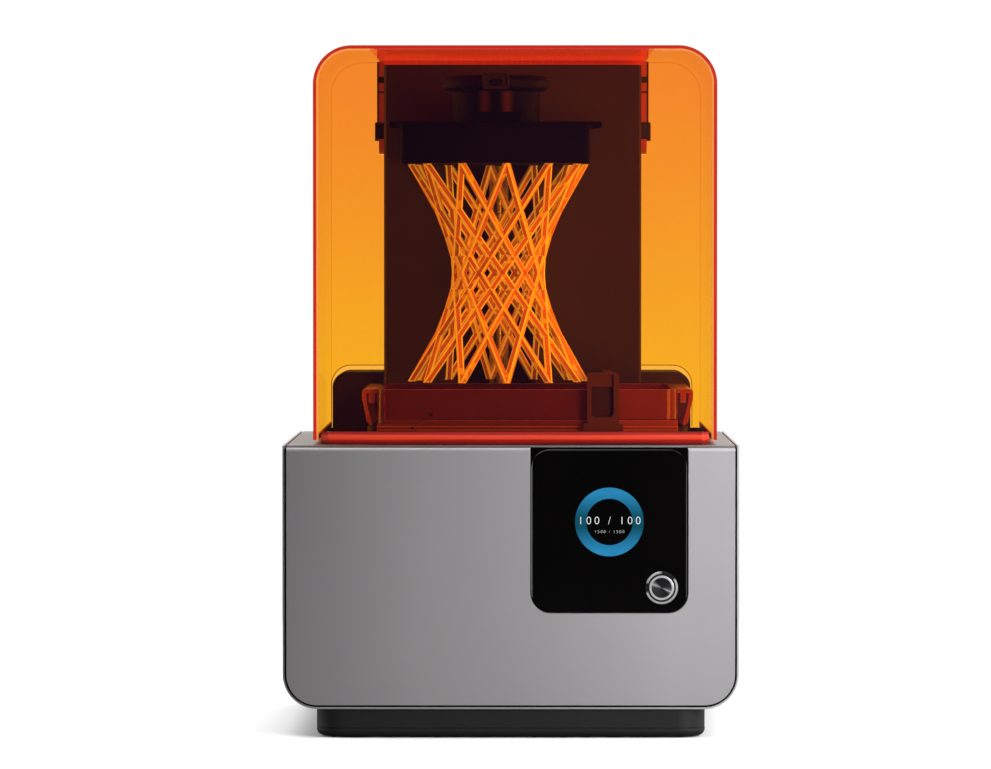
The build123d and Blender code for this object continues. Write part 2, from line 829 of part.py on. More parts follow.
def z_screw():
    """Lead screw that lifts the platform, and the coupling to the motor's shaft."""
    coupling = rod_z_at(coupling_d, coupling_z0, coupling_z0 + coupling_h, screw_x, screw_y)
    coupling = chamfer(coupling.edges().filter_by(GeomType.CIRCLE), 0.8)
    coupling -= rod_z_at(motor_shaft_d + 2 * run, coupling_z0 - 1, coupling_z0 + 10, screw_x, screw_y)
    screw = rod_z_at(screw_d, coupling_z0 + coupling_h, screw_top, screw_x, screw_y)
    return [coupling, screw]


def z_rail():
    """Linear rail on the tower's middle wall."""
    x0 = screw_x - rail_w / 2
    y0 = mid_wall_y - rail_d
    top = tower_roof - bearing_h - 1
    body = block(x0, x0 + rail_w, y0, mid_wall_y, deck_z + rail_foot, top)
    low = deck_z + rail_hole_rise
    for n in range(int((top - low) / rail_hole_pitch) + 1):
        body -= rod_y(rail_hole_d, y0 - 1, y0 + rail_hole_d - 0.5, screw_x, low + n * rail_hole_pitch)
    return body


def rail_block():
    """Bearing block that slides on the rail."""
    y0 = mid_wall_y - rail_d - block_wall
    half = rail_block_w / 2
    body = block(screw_x - half, screw_x + half, y0, mid_wall_y - 2, carriage_z0 + 2, carriage_z1 - 2)
    groove = rail_w / 2 + fit
    return body - block(screw_x - groove, screw_x + groove, y0 + block_wall - fit, mid_wall_y,
                        carriage_z0, carriage_z1)


def z_carriage():
    """Block that carries the nut and bolts to the rail's bearing block."""
    half = carriage_w / 2
    body = block(screw_x - half, screw_x + half, tower_y0 - 2, mid_wall_y - rail_d - block_wall,
                 carriage_z0, carriage_z1)
    body = fillet(body.edges().filter_by(Axis.Z), 2)
    body -= rod_z_at(screw_d + 2, carriage_z0 - 1, carriage_z1 + 1, screw_x, screw_y)
    return body - rod_z_at(nut_d + 0.2, carriage_z0 - 1, carriage_z0 + nut_h, screw_x, screw_y)


def z_nut():
    """Flanged brass nut below the carriage."""
    nut = rod_z_at(nut_flange_d, carriage_z0 - nut_flange_h, carriage_z0, screw_x, screw_y)
    nut += rod_z_at(nut_d, carriage_z0, carriage_z0 + nut_h - 1, screw_x, screw_y)
    return nut - rod_z_at(screw_d + 2 * run, carriage_z0 - nut_flange_h - 1, carriage_z0 + nut_h,
                          screw_x, screw_y)


# ---- platform ----
def platform_arm():
    """Round-nosed arm from the carriage, with the groove that holds the platform and the lever's ears."""
    half = arm_w / 2
    y1 = tower_y0 - 2
    neck = carriage_w / 2
    plan = make_face(Polyline((platform_x - half, nose_y), (platform_x + half, nose_y),
                              (platform_x + half, arm_wide_y), (screw_x + neck, y1 - arm_neck_len),
                              (screw_x + neck, y1), (screw_x - neck, y1),
                              (screw_x - neck, y1 - arm_neck_len), (platform_x - half, arm_wide_y),
                              close=True))
    body = along_z(plan + Pos(platform_x, nose_y) * Circle(half), arm_z0, arm_z1)
    body -= dovetail(fit, arm_y0 - 1, tail_y1 + fit)
    ears = block(platform_x - lever_pin_half, platform_x + lever_pin_half,
                 lever_y1 + 1, lever_y1 + 1 + ear_len, arm_z1, lever_z1)
    ears -= block(platform_x - ear_gap / 2, platform_x + ear_gap / 2,
                  lever_y1, lever_y1 + ear_len + 2, arm_z1, lever_z1 + 1)
    return body + ears - rod_x(lever_pin_d + 2 * run, platform_x - half, platform_x + half,
                               lever_pivot_y, lever_pivot_z)


def dovetail(grow, y0, y1):
    """Sliding tongue on top of the platform, wider at its top, or the groove it runs in."""
    low = tail_w / 2 - tail_slope + grow
    high = tail_w / 2 + grow
    z0 = platform_top
    z1 = platform_top + tail_h + grow
    face = make_face(Polyline((platform_x - low, z0), (platform_x + low, z0), (platform_x + high, z1),
                              (platform_x - high, z1), close=True))
    return along_y(face, y0, y1)


def lock_lever():
    """Round-fronted lever above the arm, which turns on a pin and locks the platform."""
    half = lever_w / 2
    disc = Pos(platform_x, nose_y) * Circle(lever_r)
    disc &= outline(platform_x - lever_r, platform_x + lever_r, nose_y - lever_r, lever_y1)
    body = along_z(disc, lever_z0, lever_z1)
    body = fillet(body.faces().sort_by(Axis.Z)[-1].edges(), 2)
    tab = block(platform_x - tab_w / 2, platform_x + tab_w / 2, lever_front - tab_lead, lever_y1 - 2,
                lever_z0 + 1, lever_z1 + tab_rise)
    tab = fillet(edges_at(tab, Axis.Z, y=lever_front - tab_lead), 2)
    tab = chamfer(tab.faces().sort_by(Axis.Z)[-1].edges(), 0.5)
    tongue_half = ear_gap / 2 - fit
    tongue = block(platform_x - tongue_half, platform_x + tongue_half, lever_y1, lever_pivot_y,
                   lever_pivot_z - tongue_t / 2, lever_pivot_z + tongue_t / 2)
    tongue += rod_x(tongue_t, platform_x - tongue_half, platform_x + tongue_half,
                    lever_pivot_y, lever_pivot_z)
    pin = rod_x(lever_pin_d, platform_x - lever_pin_half, platform_x + lever_pin_half,
                lever_pivot_y, lever_pivot_z)
    for side in (-1, 1):
        ear_x = platform_x + side * (ear_gap + ear_t) / 2
        body -= block(ear_x - ear_t / 2 - 1, ear_x + ear_t / 2 + 1, lever_y1 - tongue_t, lever_y1 + 1,
                      lever_z0, lever_z1)
    pocket_half = tab_w / 2 - tab_wall
    pocket = block(platform_x - pocket_half, platform_x + pocket_half, lever_front - tab_lead - 1,
                   lever_front + tab_pocket_depth, lever_z0 + tab_pocket_rise, lever_z1 + tab_rise - tab_wall)
    return body + tab - pocket + tongue + pin


def platform_body():
    """Machined platform block with its thin rim, its side knobs and the dovetail tongue on top."""
    place = Pos(platform_x, platform_y)
    face = place * RectangleRounded(platform_w, platform_d, platform_r)
    body = along_z(face, platform_z, platform_top - rim_t)
    body = chamfer(body.faces().sort_by(Axis.Z)[0].edges(), 0.8)
    face = place * RectangleRounded(platform_w + 2 * rim_reach, platform_d + 2 * rim_reach_y, platform_r)
    rim = along_z(face, platform_top - rim_t, platform_top)
    rim_y0 = platform_y - platform_d / 2 - rim_reach_y
    reach = platform_w / 2 + rim_reach - knob_d / 2
    for side in (-1, 1):
        rim += rod_y(knob_d, rim_y0, rim_y0 + knob_len, platform_x + side * reach, platform_top - knob_d / 2)
    return body + rim + dovetail(0, arm_y0 + tail_setback, tail_y1)


def lattice_bar(turn, angle):
    """One straight bar of the print, twisted by turn degrees between its ends."""
    start = math.radians(angle)
    end = math.radians(angle + turn)
    low = Vector(lattice_x + lattice_r * math.sin(start), lattice_y - lattice_r * math.cos(start), lattice_z0)
    high = Vector(lattice_x + lattice_r * math.sin(end), lattice_y - lattice_r * math.cos(end), platform_z)
    along = (high - low).normalized()
    reach = lattice_bar_d
    plane = Plane(origin=low - along * reach, z_dir=along)
    return extrude(plane * Circle(lattice_bar_d / 2), (high - low).length + 2 * reach)


def printed_lattice():
    """Waisted lattice print that hangs below the platform: crossing bars, cut flat at both ends."""
    step = 360 / lattice_bars
    bars = []
    for turn in (lattice_twist, -lattice_twist):
        for n in range(lattice_bars):
            bars.append(lattice_bar(turn, lattice_first + n * step))
    body = bars[0] + bars[1:]
    keep = rod_z_at(4 * lattice_r, lattice_z0, platform_z, lattice_x, lattice_y)
    return body & keep


# ---- resin tank ----
def tank_body():
    """Open pan with a curled grip on each side, a stepped skirt in front and a window in its floor."""
    place = Pos(tank_x, tank_mid_y)
    d = tank_y1 - tank_y0
    body = along_z(place * RectangleRounded(tank_w, d, tank_r), tank_z0, tank_z1)
    cavity = RectangleRounded(tank_w - 2 * tank_wall, d - 2 * tank_wall, tank_r - tank_wall)
    body -= along_z(place * cavity, tank_z0 + tank_floor, tank_z1 + 1)
    window = RectangleRounded(tank_w - 2 * tank_window_side, d - 2 * tank_window_end, tank_window_r)
    body -= along_z(place * window, tank_z0 - 1, tank_z1)
    for side in (-1, 1):
        body += along_y(grip_outline(side), tank_y0 + tank_r + 2, tank_y1 - tank_r - 2)
    return body + skirt()


def grip_outline(side):
    """Section of the grip on one side: flat top with a rib below it, and an outer wall that leans in."""
    wall = tank_x + side * tank_w / 2
    out = wall + side * grip_w
    low = out - side * grip_lean
    under = tank_z1 - grip_t
    knee = tank_z1 - grip_knee
    end = tank_z0 + grip_rise
    face = make_face(Polyline((wall, under), (wall, tank_z1), (out - side * 1.5, tank_z1),
                              (out, tank_z1 - 1.5), (out, knee), (out - side * grip_step, knee - grip_step),
                              (low, end + grip_curl), (low - side * grip_curl, end),
                              (low - side * (grip_curl + 1), end + 1),
                              (low - side * grip_t, end + grip_curl + 2),
                              (out - side * (grip_t + grip_step), knee - grip_curl),
                              (out - side * grip_t, under), close=True))
    rib = wall + side * (grip_w - grip_t) / 2
    rib_half = grip_rib_w / 2
    return face + outline(rib - rib_half, rib + rib_half, under - grip_rib_h, under)


def skirt():
    """Band in front of the tank and its carrier, lower at its left end."""
    x0 = tank_x - tank_w / 2
    x1 = tank_x + tank_w / 2
    low = tank_z0 - skirt_low
    high = tank_z0 + skirt_high
    step = high - skirt_step
    bend = x0 + skirt_low_w
    face = make_face(Polyline((x0, low), (x1, low), (x1, high), (bend + skirt_step, high), (bend, step),
                              (x0, step), close=True))
    return along_y(face, tank_y0 - skirt_t, tank_y0)


def tank_film():
    """Clear window that closes the tank's floor."""
    plate = RectangleRounded(tank_w - 2 * tank_wall - 14, tank_y1 - tank_y0 - 2 * tank_wall - 8, 6)
    floor = tank_z0 + tank_floor
    return along_z(Pos(tank_x, tank_mid_y) * plate, floor, floor + film_t)


def tank_carrier():
    """Frame that holds the tank and slides sideways on two rods."""
    middle_y = (carrier_y0 + carrier_y1) / 2
    x0 = tank_x - carrier_w / 2
    x1 = tank_x + carrier_w / 2
    plate = RectangleRounded(carrier_w, carrier_y1 - carrier_y0, carrier_r)
    body = along_z(Pos(tank_x, middle_y) * plate, carrier_z0, tank_z0)
    opening = RectangleRounded(tank_w - 2 * carrier_lap, tank_y1 - tank_y0 - 2 * (carrier_lap - 1), 8)
    body -= along_z(Pos(tank_x, tank_mid_y) * opening, carrier_z0 - 1, tank_z0 + 1)
    low = rod_z - lug_d / 2 + 1
    lug_half = lug_d / 2 - 1.5
    for lug_x in (x0 + 2, x1 - 2 - lug_len):
        for y in (front_rod_y, rear_rod_y):
            body += block(lug_x, lug_x + lug_len, y - lug_half, y + lug_half, low, carrier_z0)
    body += block(x0 + 2, x0 + 2 + lug_len, front_rod_y, peel_screw_y + 7, low, carrier_z0)
    body -= rod_x(rod_d + 2 * run, x0 - 1, x1 + 1, front_rod_y, rod_z)
    body -= rod_x(rod_d + 2 * run, x0 - 1, x1 + 1, rear_rod_y, rod_z)
    return body - rod_x(peel_screw_d + 2 * run, x0 - 1, x0 + lug_len + 4, peel_screw_y, rod_z)


def carrier_rods():
    """Two polished rods across the tray, seated in its side walls."""
    return [rod_x(rod_d, bay_x0 - tray_t, bay_x1 + tray_t, y, rod_z) for y in (front_rod_y, rear_rod_y)]


def peel_motor():
    """Small stepper motor beside the tray."""
    half = peel_motor_w / 2
    x1 = bay_x0 - tray_t
    body = block(x1 - peel_motor_len, x1, peel_screw_y - half, peel_screw_y + half,
                 rod_z - half, rod_z + half)
    return chamfer(body.edges().filter_by(Axis.X), 2)


def peel_screw():
    """Screw that shifts the tank carrier."""
    return rod_x(peel_screw_d, bay_x0 - tray_t, tank_x - carrier_w / 2 + lug_len + 12, peel_screw_y, rod_z)


# ---- wiper ----
def wiper_frame():
    """Front frame with its window, its foot, and the bridge that reaches back over the tank."""
    half = wiper_w / 2
    y0 = wiper_y0
    y1 = wiper_y0 + wiper_t
    face = outline(wiper_x - half, wiper_x + half, wiper_mount_top, wiper_top, 0, 2)
    foot = outline(wiper_x - wiper_foot_w / 2, wiper_x + wiper_foot_w / 2,
                   wiper_mount_top, wiper_mount_top + wiper_foot_h, 0, 1.5)
    body = along_y(face, y0, y1) + along_y(foot, y0, y1)
    window = outline(wiper_x - half + wiper_left_bar, wiper_x + half - wiper_right_bar,
                     wiper_mount_top + wiper_window_rise, wiper_top - 1.9, 3, 0)
    body -= along_y(window, y0 - 1, y1 + 1)
    bridge_x = bridge_center()
    bridge = block(bridge_x - bridge_w / 2, bridge_x + bridge_w / 2, y0 + 2, blade_y1, bridge_z0, bridge_z1)
    crossing = block(wiper_x - half + 1, wiper_x + half - 1, y0 + 2, y1, bridge_z0, bridge_z1)
    return body + crossing + bridge


def bridge_center():
    """X of the middle of the bridge and blade."""
    return wiper_x + wiper_w / 2 - bridge_side - bridge_w / 2


def wiper_blade():
    """Blade that hangs from the bridge and sweeps the tank's floor."""
    x = bridge_center()
    y0 = tank_y0 + tank_wall + 4
    low = tank_z0 + tank_floor + film_t + fit
    body = block(x - blade_t / 2, x + blade_t / 2, y0, blade_y1, low + 4, bridge_z0)
    tip = make_face(Polyline((x - blade_t / 2, low + 4), (x + blade_t / 2, low + 4),
                             (x + blade_tip_w / 2, low), (x - blade_tip_w / 2, low), close=True))
    return body + along_y(tip, y0, blade_y1)


def wiper_mount():
    """Motor-driven runner below the wiper, hooked round its rail."""
    half = wiper_w / 2 + 1
    y0 = wiper_y0 - 1.5
    y1 = wiper_y0 + wiper_t + 0.5
    body = block(wiper_x - half, wiper_x + half, y0, y1, deck_z + fit, wiper_mount_top)
    rail_y = wiper_rail_y()
    return body - block(wiper_x - wiper_w, wiper_x + wiper_w, rail_y - wiper_rail_w / 2 - 0.1,
                        rail_y + wiper_rail_w / 2 + 0.1, deck_z, deck_z + wiper_rail_h + 0.1)


def wiper_rail_y():
    """Y of the middle of the wiper's rail."""
    return bay_y0 - 1 - wiper_rail_w / 2


def wiper_rail():
    """Rail in front of the tank bay."""
    y = wiper_rail_y()
    half = (bay_w - wiper_rail_inset) / 2
    return block(-half, half, y - wiper_rail_w / 2, y + wiper_rail_w / 2, deck_z, deck_z + wiper_rail_h)


# ---- resin cartridge ----
def cartridge_body():
    """Flat bottle with rounded edges, a recess for its valve and a shallow grip round its top."""
    place = Pos(tower_x, cartridge_y)
    face = place * RectangleRounded(cartridge_w, cartridge_d, cartridge_r)
    body = along_z(face, cartridge_floor_z, cartridge_top)
    body = fillet(body.faces().sort_by(Axis.Z)[-1].edges(), 4)
    grip = RectangleRounded(cartridge_w + 2, cartridge_d + 2, cartridge_r)
    grip -= RectangleRounded(cartridge_w - 3, cartridge_d - 3, cartridge_r - 1.5)
    grip_z = cartridge_top - grip_drop
    body -= along_z(place * grip, grip_z, grip_z + grip_h)
    return body - rod_z_at(valve_d + 14, cartridge_floor_z - 1, cartridge_floor_z + valve_h + 2,
                           tower_x, cartridge_y)


def cartridge_valve():
    """Rubber valve at the cartridge's mouth."""
    z1 = cartridge_floor_z + valve_h + 2
    valve = rod_z_at(valve_d, z1 - valve_h, z1, tower_x, cartridge_y)
    return chamfer(valve.edges().sort_by(Axis.Z)[0], 2)


def vent_cap():
    """Hinged vent cap on the cartridge."""
    y0 = cartridge_y - cap_d / 2
    y1 = cartridge_y + cap_d / 2
    body = block(cap_x - cap_w / 2, cap_x + cap_w / 2, y0, y1 - 3, cartridge_top, cartridge_top + cap_h)
    body = fillet(body.edges().filter_by(Axis.Z), 3)
    pivot_z = cartridge_top + cap_knuckle_d / 2
    knuckle = rod_x(cap_knuckle_d, cap_x - cap_w / 2, cap_x + cap_w / 2, y1, pivot_z)
    link = block(cap_x - cap_w / 2 + 4, cap_x + cap_w / 2 - 4, y1 - 4, y1, cartridge_top + 0.5,
                 cartridge_top + cap_knuckle_d - 0.5)
    return body + link + knuckle


# ---- optics ----
def optics_bench():
    """Cast bench with four feet, the mirror's cheeks and the seats of the laser and scanners."""
    body = block(bench_x0, bench_x1, bench_y0, bench_y1, bench_z0, bench_top)
    for x in (bench_x0 + 12, bench_x1 - 12):
        for y in (bench_y0 + 12, bench_y1 - 12):
            body += rod_z_at(14, floor_z, bench_z0, x, y)
    reach = mirror_h / 2 * math.sin(math.radians(45))
    cheek = make_face(Polyline((platform_y - reach - 8, bench_top), (platform_y + reach + 12, bench_top),
                               (platform_y + reach + 12, beam_z - reach + 6),
                               (platform_y - reach + 8, beam_z + reach),
                               (platform_y - reach - 8, beam_z + reach), close=True))
    body += along_x(cheek, bench_x0, platform_x - mirror_w / 2)
    body += along_x(cheek, platform_x + mirror_w / 2, platform_x + mirror_w / 2 + cheek_t)
    galvo_x0 = platform_x - galvo_gap - galvo_len
    body += block(galvo_x0, bench_x1, galvo_y - 10, bench_y1, bench_top, seat_z)
    body += block(galvo_x0, platform_x - galvo_gap, scan_y - 8, scan_y + 8, seat_z, beam_z - galvo_d / 2)
    return body + block(platform_x + laser_gap + barrel_len, bench_x1, scan_y - 10, scan_y + 10,
                        seat_z, beam_z - laser_h / 2)


def main_mirror():
    """Large mirror at 45 degrees that turns the beam up to the tank."""
    plate = Box(mirror_w, mirror_h, mirror_t)
    return Pos(platform_x, platform_y, beam_z) * Rot(-45, 0, 0) * plate


def galvo_motors():
    """Bodies of the two scanner motors."""
    upright = rod_z_at(galvo_d, seat_z, beam_z - galvo_gap, platform_x, galvo_y)
    half = galvo_d / 2
    lying_x1 = platform_x - galvo_gap
    lying = block(lying_x1 - galvo_len, lying_x1, scan_y - half, scan_y + half, beam_z - half, beam_z + half)
    bore = galvo_shaft_d + 2 * run
    upright -= rod_z_at(bore, beam_z - galvo_gap - 2 * galvo_shaft_d, beam_z, platform_x, galvo_y)
    lying -= rod_x(bore, lying_x1 - 2 * galvo_shaft_d, platform_x, scan_y, beam_z)
    return [upright, lying]


def galvo_mirror_x():
    """Scanner mirror that turns about an upright shaft."""
    shaft = rod_z_at(galvo_shaft_d, beam_z - 13, beam_z - 6, platform_x, galvo_y)
    half = scan_mirror_t / 2
    return shaft + block(platform_x - 7, platform_x + 7, galvo_y - half, galvo_y + half,
                         beam_z - 6, beam_z + 10)


def galvo_mirror_y():
    """Scanner mirror that turns about a level shaft."""
    shaft = rod_x(galvo_shaft_d, platform_x - 13, platform_x - 6, scan_y, beam_z)
    half = scan_mirror_t / 2
    return shaft + block(platform_x - 6, platform_x + 8, scan_y - half, scan_y + half, beam_z - 5, beam_z + 5)


def laser_module():
    """Laser housing with its lens barrel."""
    half = laser_h / 2
    x0 = platform_x + laser_gap
    body = block(x0 + barrel_len, bench_x1, scan_y - half, scan_y + half, beam_z - half, beam_z + half)
    body = fillet(body.edges().filter_by(Axis.X), 2)
    return body + rod_x(barrel_d, x0, x0 + barrel_len, scan_y, beam_z)


def main_board():
    """Circuit board on standoffs, with its chips and connectors."""
    z0 = floor_z + standoff_h
    z1 = z0 + board_t
    body = block(board_x0, board_x1, board_y0, board_y1, z0, z1)
    for x in (board_x0 + 5, board_x1 - 5):
        for y in (board_y0 + 5, board_y1 - 5):
            body += rod_z_at(standoff_d, floor_z, z0, x, y)
    middle = (board_x0 + board_x1) / 2
    chip = (chip_w, chip_w, chip_h)
    plug = (plug_w, plug_d, plug_h)
    coil = (coil_w, coil_w, coil_h)
    for n, (w, d, h) in enumerate((chip, chip, plug, coil, plug)):
        y = board_y0 + chip_first + n * chip_pitch
        body += block(middle - w / 2, middle + w / 2, y - d / 2, y + d / 2, z1, z1 + h)
    return body


def power_supply():
    """Closed power supply with a lid that overhangs its sides."""
    z1 = floor_z + supply_h
    body = block(supply_x0, supply_x1, supply_y0, supply_y1, floor_z, z1)
    return body + block(supply_x0 - supply_lid_lap, supply_x1 + supply_lid_lap,
                        supply_y0 - supply_lid_lap, supply_y1 + supply_lid_lap, z1, z1 + supply_lid_t)


# ---- rear fittings ----
def fan_frame():
    """Square fan housing with a round throat, corner holes, and struts that carry the hub."""
    y1 = back_panel_y0
    y0 = y1 - fan_t
    face = Pos(fan_x, fan_z) * RectangleRounded(fan_w, fan_w, 4)
    face -= Pos(fan_x, fan_z) * Circle(fan_bore / 2)
    for sx in (-1, 1):
        for sz in (-1, 1):
            face -= Pos(fan_x + sx * (fan_w / 2 - 5), fan_z + sz * (fan_w / 2 - 5)) * Circle(2.2)
    body = along_y(face, y0, y1)
    cross = Rectangle(fan_bore + 1, 4) + Rectangle(4, fan_bore + 1) + Circle(fan_hub_d / 2)
    cross &= Circle(fan_bore / 2 + 0.3)
    body += along_y(Pos(fan_x, fan_z) * cross, y0, y0 + 2.5)
    return body - rod_y(fan_shaft_d + 2 * run, y0 - 1, y0 + 4, fan_x, fan_z)


def fan_rotor():
    """Fan wheel: hub, shaft and pitched blades."""
    y0 = back_panel_y0 - fan_t + 2.5 + fit
    y1 = back_panel_y0 - 1.2
    body = rod_y(fan_hub_d, y0, y1, fan_x, fan_z)
    body = fillet(body.edges().sort_by(Axis.Y)[-1], 1.5)
    middle = (y0 + y1) / 2
    blades = []
    for n in range(fan_blades):
        blade = Pos(fan_bore / 4 + 2.5, 0, 0) * Rot(38, 0, 0) * Box(fan_bore / 2 - 7, 9, 1.4)
        blades.append(Pos(fan_x, middle, fan_z) * Rot(0, n * 360 / fan_blades, 0) * blade)
    wheel = body + blades
    keep = rod_y(fan_bore - 2, y0, y1, fan_x, fan_z)
    return (wheel & keep) + rod_y(fan_shaft_d, y0 - fit - 2, y0, fan_x, fan_z)


def power_inlet():
    """Mains inlet: flange, open socket and three flat pins."""
    place = Pos(inlet_x, inlet_z)
    flange = place * RectangleRounded(inlet_flange_w, inlet_flange_h, 5)
    body = along_y(flange, back_panel_y1, back_y)
    body += along_y(place * Rectangle(inlet_w, inlet_h), back_panel_y1 - inlet_body_d, back_panel_y1)
    socket = chamfer((place * Rectangle(inlet_w - 4, inlet_h - 4)).vertices().group_by(Axis.Y)[-1], 4)
    body -= along_y(socket, back_y - inlet_depth, back_y + 1)
    for x, z in ((inlet_x - 7, inlet_z - 2), (inlet_x, inlet_z + 2), (inlet_x + 7, inlet_z - 2)):
        body += block(x - 1, x + 1, back_y - inlet_depth, back_y - inlet_pin_gap, z - 2, z + 2)
    return body


def rocker_places():
    """The rocker switch's half width, half height and pivot depth."""
    return 8.0, 4.6, back_panel_y1 - 4


def switch_frame():
    """Frame of the rocker switch."""
    place = Pos(inlet_x, switch_z)
    body = along_y(place * RectangleRounded(switch_w + 5, switch_h + 4, 2), back_panel_y1, back_y - 0.7)
    body += along_y(place * Rectangle(switch_w, switch_h), back_panel_y1 - switch_body_d, back_panel_y1)
    return body - along_y(place * Rectangle(switch_w - 3.2, switch_h - 3), back_panel_y1 - 8.5, back_y + 1)


def rocker():
    """Rocking key of the mains switch, tipped to its off side, with its round pivot."""
    half_w, half_h, y = rocker_places()
    face = make_face(Polyline((0, -2), (half_w - 0.6, 1.5), (half_w - 1.4, back_y - 1.2 - y),
                              (0, back_y - 2.2 - y), (-half_w + 1.4, back_y - 1.2 - y), (-half_w + 0.6, 1.5),
                              close=True))
    face += Circle(2.4)
    key = extrude(face, 2 * half_h)
    return Pos(inlet_x, y, switch_z - half_h) * Rot(0, 0, -rocker_tip / 2) * key


def data_ports():
    """Network and computer sockets, each an open shell."""
    sockets = []
    for x, w, h in port_places():
        shell = block(x - w / 2, x + w / 2, back_panel_y1 - 15, back_panel_y1 + 0.8, ports_z, ports_z + h)
        shell -= block(x - w / 2 + 1.5, x + w / 2 - 1.5, back_panel_y1 - 12, back_panel_y1 + 1,
                       ports_z + 1.5, ports_z + h - 1.5)
        sockets.append(shell)
    return sockets


def rear_screws():
    """Round-headed screws round the rear panel."""
    half = shell_in - fit - screw_inset
    places = [(side * half, screw_low_z + n * screw_pitch) for side in (-1, 1) for n in range(3)]
    places += [(side * screw_low_z, screw_bottom_z) for side in (-1, 1)]
    screws = []
    for x, z in places:
        head = rod_y(screw_head_d, back_panel_y1, back_panel_y1 + screw_head_h, x, z)
        head = fillet(head.edges().sort_by(Axis.Y)[-1], 0.7)
        screws.append(head - rod_y(2.2, back_panel_y1 + 0.6, back_y, x, z))
    return screws


nodes = {
    "plinth": plinth, "rubber_feet": rubber_feet, "outer_shell": outer_shell, "front_panel": front_panel,
    "front_bulkhead": front_bulkhead, "display_bezel": display_bezel, "display_glass": display_glass,
    "button_ring": button_ring, "power_button": power_button,
    "top_deck": deck, "bay_tray": bay_tray, "laser_window": laser_window, "back_panel": back_panel,
    "cover_wrap": cover_wrap, "cover_front": cover_front, "cover_lip": cover_lip, "hinge_arms": hinge_arms,
    "hinge_pins": hinge_pins, "tower_shell": tower_shell, "tower_front": tower_front,
    "rear_wings": rear_wings,
    "z_motor": z_motor, "motor_bracket": motor_bracket, "z_screw": z_screw,
    "z_rail": z_rail, "rail_block": rail_block, "z_carriage": z_carriage, "z_nut": z_nut,
    "platform_arm": platform_arm, "lock_lever": lock_lever, "platform_body": platform_body,
    "printed_lattice": printed_lattice, "tank_body": tank_body, "tank_film": tank_film,
    "tank_carrier": tank_carrier, "carrier_rods": carrier_rods, "peel_motor": peel_motor,
    "peel_screw": peel_screw, "wiper_frame": wiper_frame, "wiper_blade": wiper_blade,
    "wiper_mount": wiper_mount, "wiper_rail": wiper_rail, "cartridge_body": cartridge_body,
    "cartridge_valve": cartridge_valve, "vent_cap": vent_cap, "optics_bench": optics_bench,
    "main_mirror": main_mirror, "galvo_motors": galvo_motors, "galvo_mirror_x": galvo_mirror_x,
    "galvo_mirror_y": galvo_mirror_y, "laser_module": laser_module, "main_board": main_board,
    "power_supply": power_supply, "fan_frame": fan_frame, "fan_rotor": fan_rotor,
    "power_inlet": power_inlet, "mains_switch": switch_frame, "switch_key": rocker,
    "data_ports": data_ports, "rear_screws": rear_screws,
}

os.makedirs("parts", exist_ok=True)
for name, make in nodes.items():
    made = make()
    if isinstance(made, list):
        made = Compound(children=[piece for item in made for piece in item.solids()])
    export_step(made, f"parts/{name}.step")
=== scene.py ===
"""Looks of the desktop laser resin printer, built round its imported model.

Metres, in the same frame as the parts: +X right, +Y back, +Z up, the table at Z = 0.
"""
import json
import math

import bmesh
import bpy
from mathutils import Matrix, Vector


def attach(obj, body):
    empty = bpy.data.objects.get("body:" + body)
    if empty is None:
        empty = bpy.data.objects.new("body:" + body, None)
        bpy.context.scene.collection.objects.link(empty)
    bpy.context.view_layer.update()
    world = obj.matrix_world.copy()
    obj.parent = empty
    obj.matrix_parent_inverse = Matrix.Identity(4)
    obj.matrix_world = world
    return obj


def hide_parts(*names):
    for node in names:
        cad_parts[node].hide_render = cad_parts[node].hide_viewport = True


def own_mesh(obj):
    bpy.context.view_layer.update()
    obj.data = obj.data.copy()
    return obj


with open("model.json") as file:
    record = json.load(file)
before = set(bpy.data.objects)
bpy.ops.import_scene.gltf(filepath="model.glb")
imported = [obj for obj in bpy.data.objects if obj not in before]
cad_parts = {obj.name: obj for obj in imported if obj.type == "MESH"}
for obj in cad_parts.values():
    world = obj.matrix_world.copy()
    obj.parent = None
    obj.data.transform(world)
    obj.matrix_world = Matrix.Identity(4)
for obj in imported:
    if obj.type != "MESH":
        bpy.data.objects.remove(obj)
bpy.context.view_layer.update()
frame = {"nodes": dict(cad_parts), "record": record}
nodes = frame["nodes"]

# ---- camera: straight on and far away, so that the sides hardly show ----
VIEW_FROM = Vector((0.0107, -4.285, 0.370))
VIEW_TO = Vector((-0.0114, -0.165, 0.2661))
SENSOR = 36.0
FRAME_WIDTH = 0.74325


def make_camera():
    """Camera whose frame is FRAME_WIDTH metres wide at the object's front face."""
    data = bpy.data.cameras.new("view")
    data.sensor_width = SENSOR
    data.lens = SENSOR * (VIEW_TO - VIEW_FROM).length / FRAME_WIDTH
    data.clip_start = 0.1
    data.clip_end = 60
    camera = bpy.data.objects.new("view", data)
    camera.location = VIEW_FROM
    camera.rotation_euler = (VIEW_TO - VIEW_FROM).to_track_quat("-Z", "Y").to_euler()
    bpy.context.scene.collection.objects.link(camera)
    bpy.context.scene.camera = camera


make_camera()


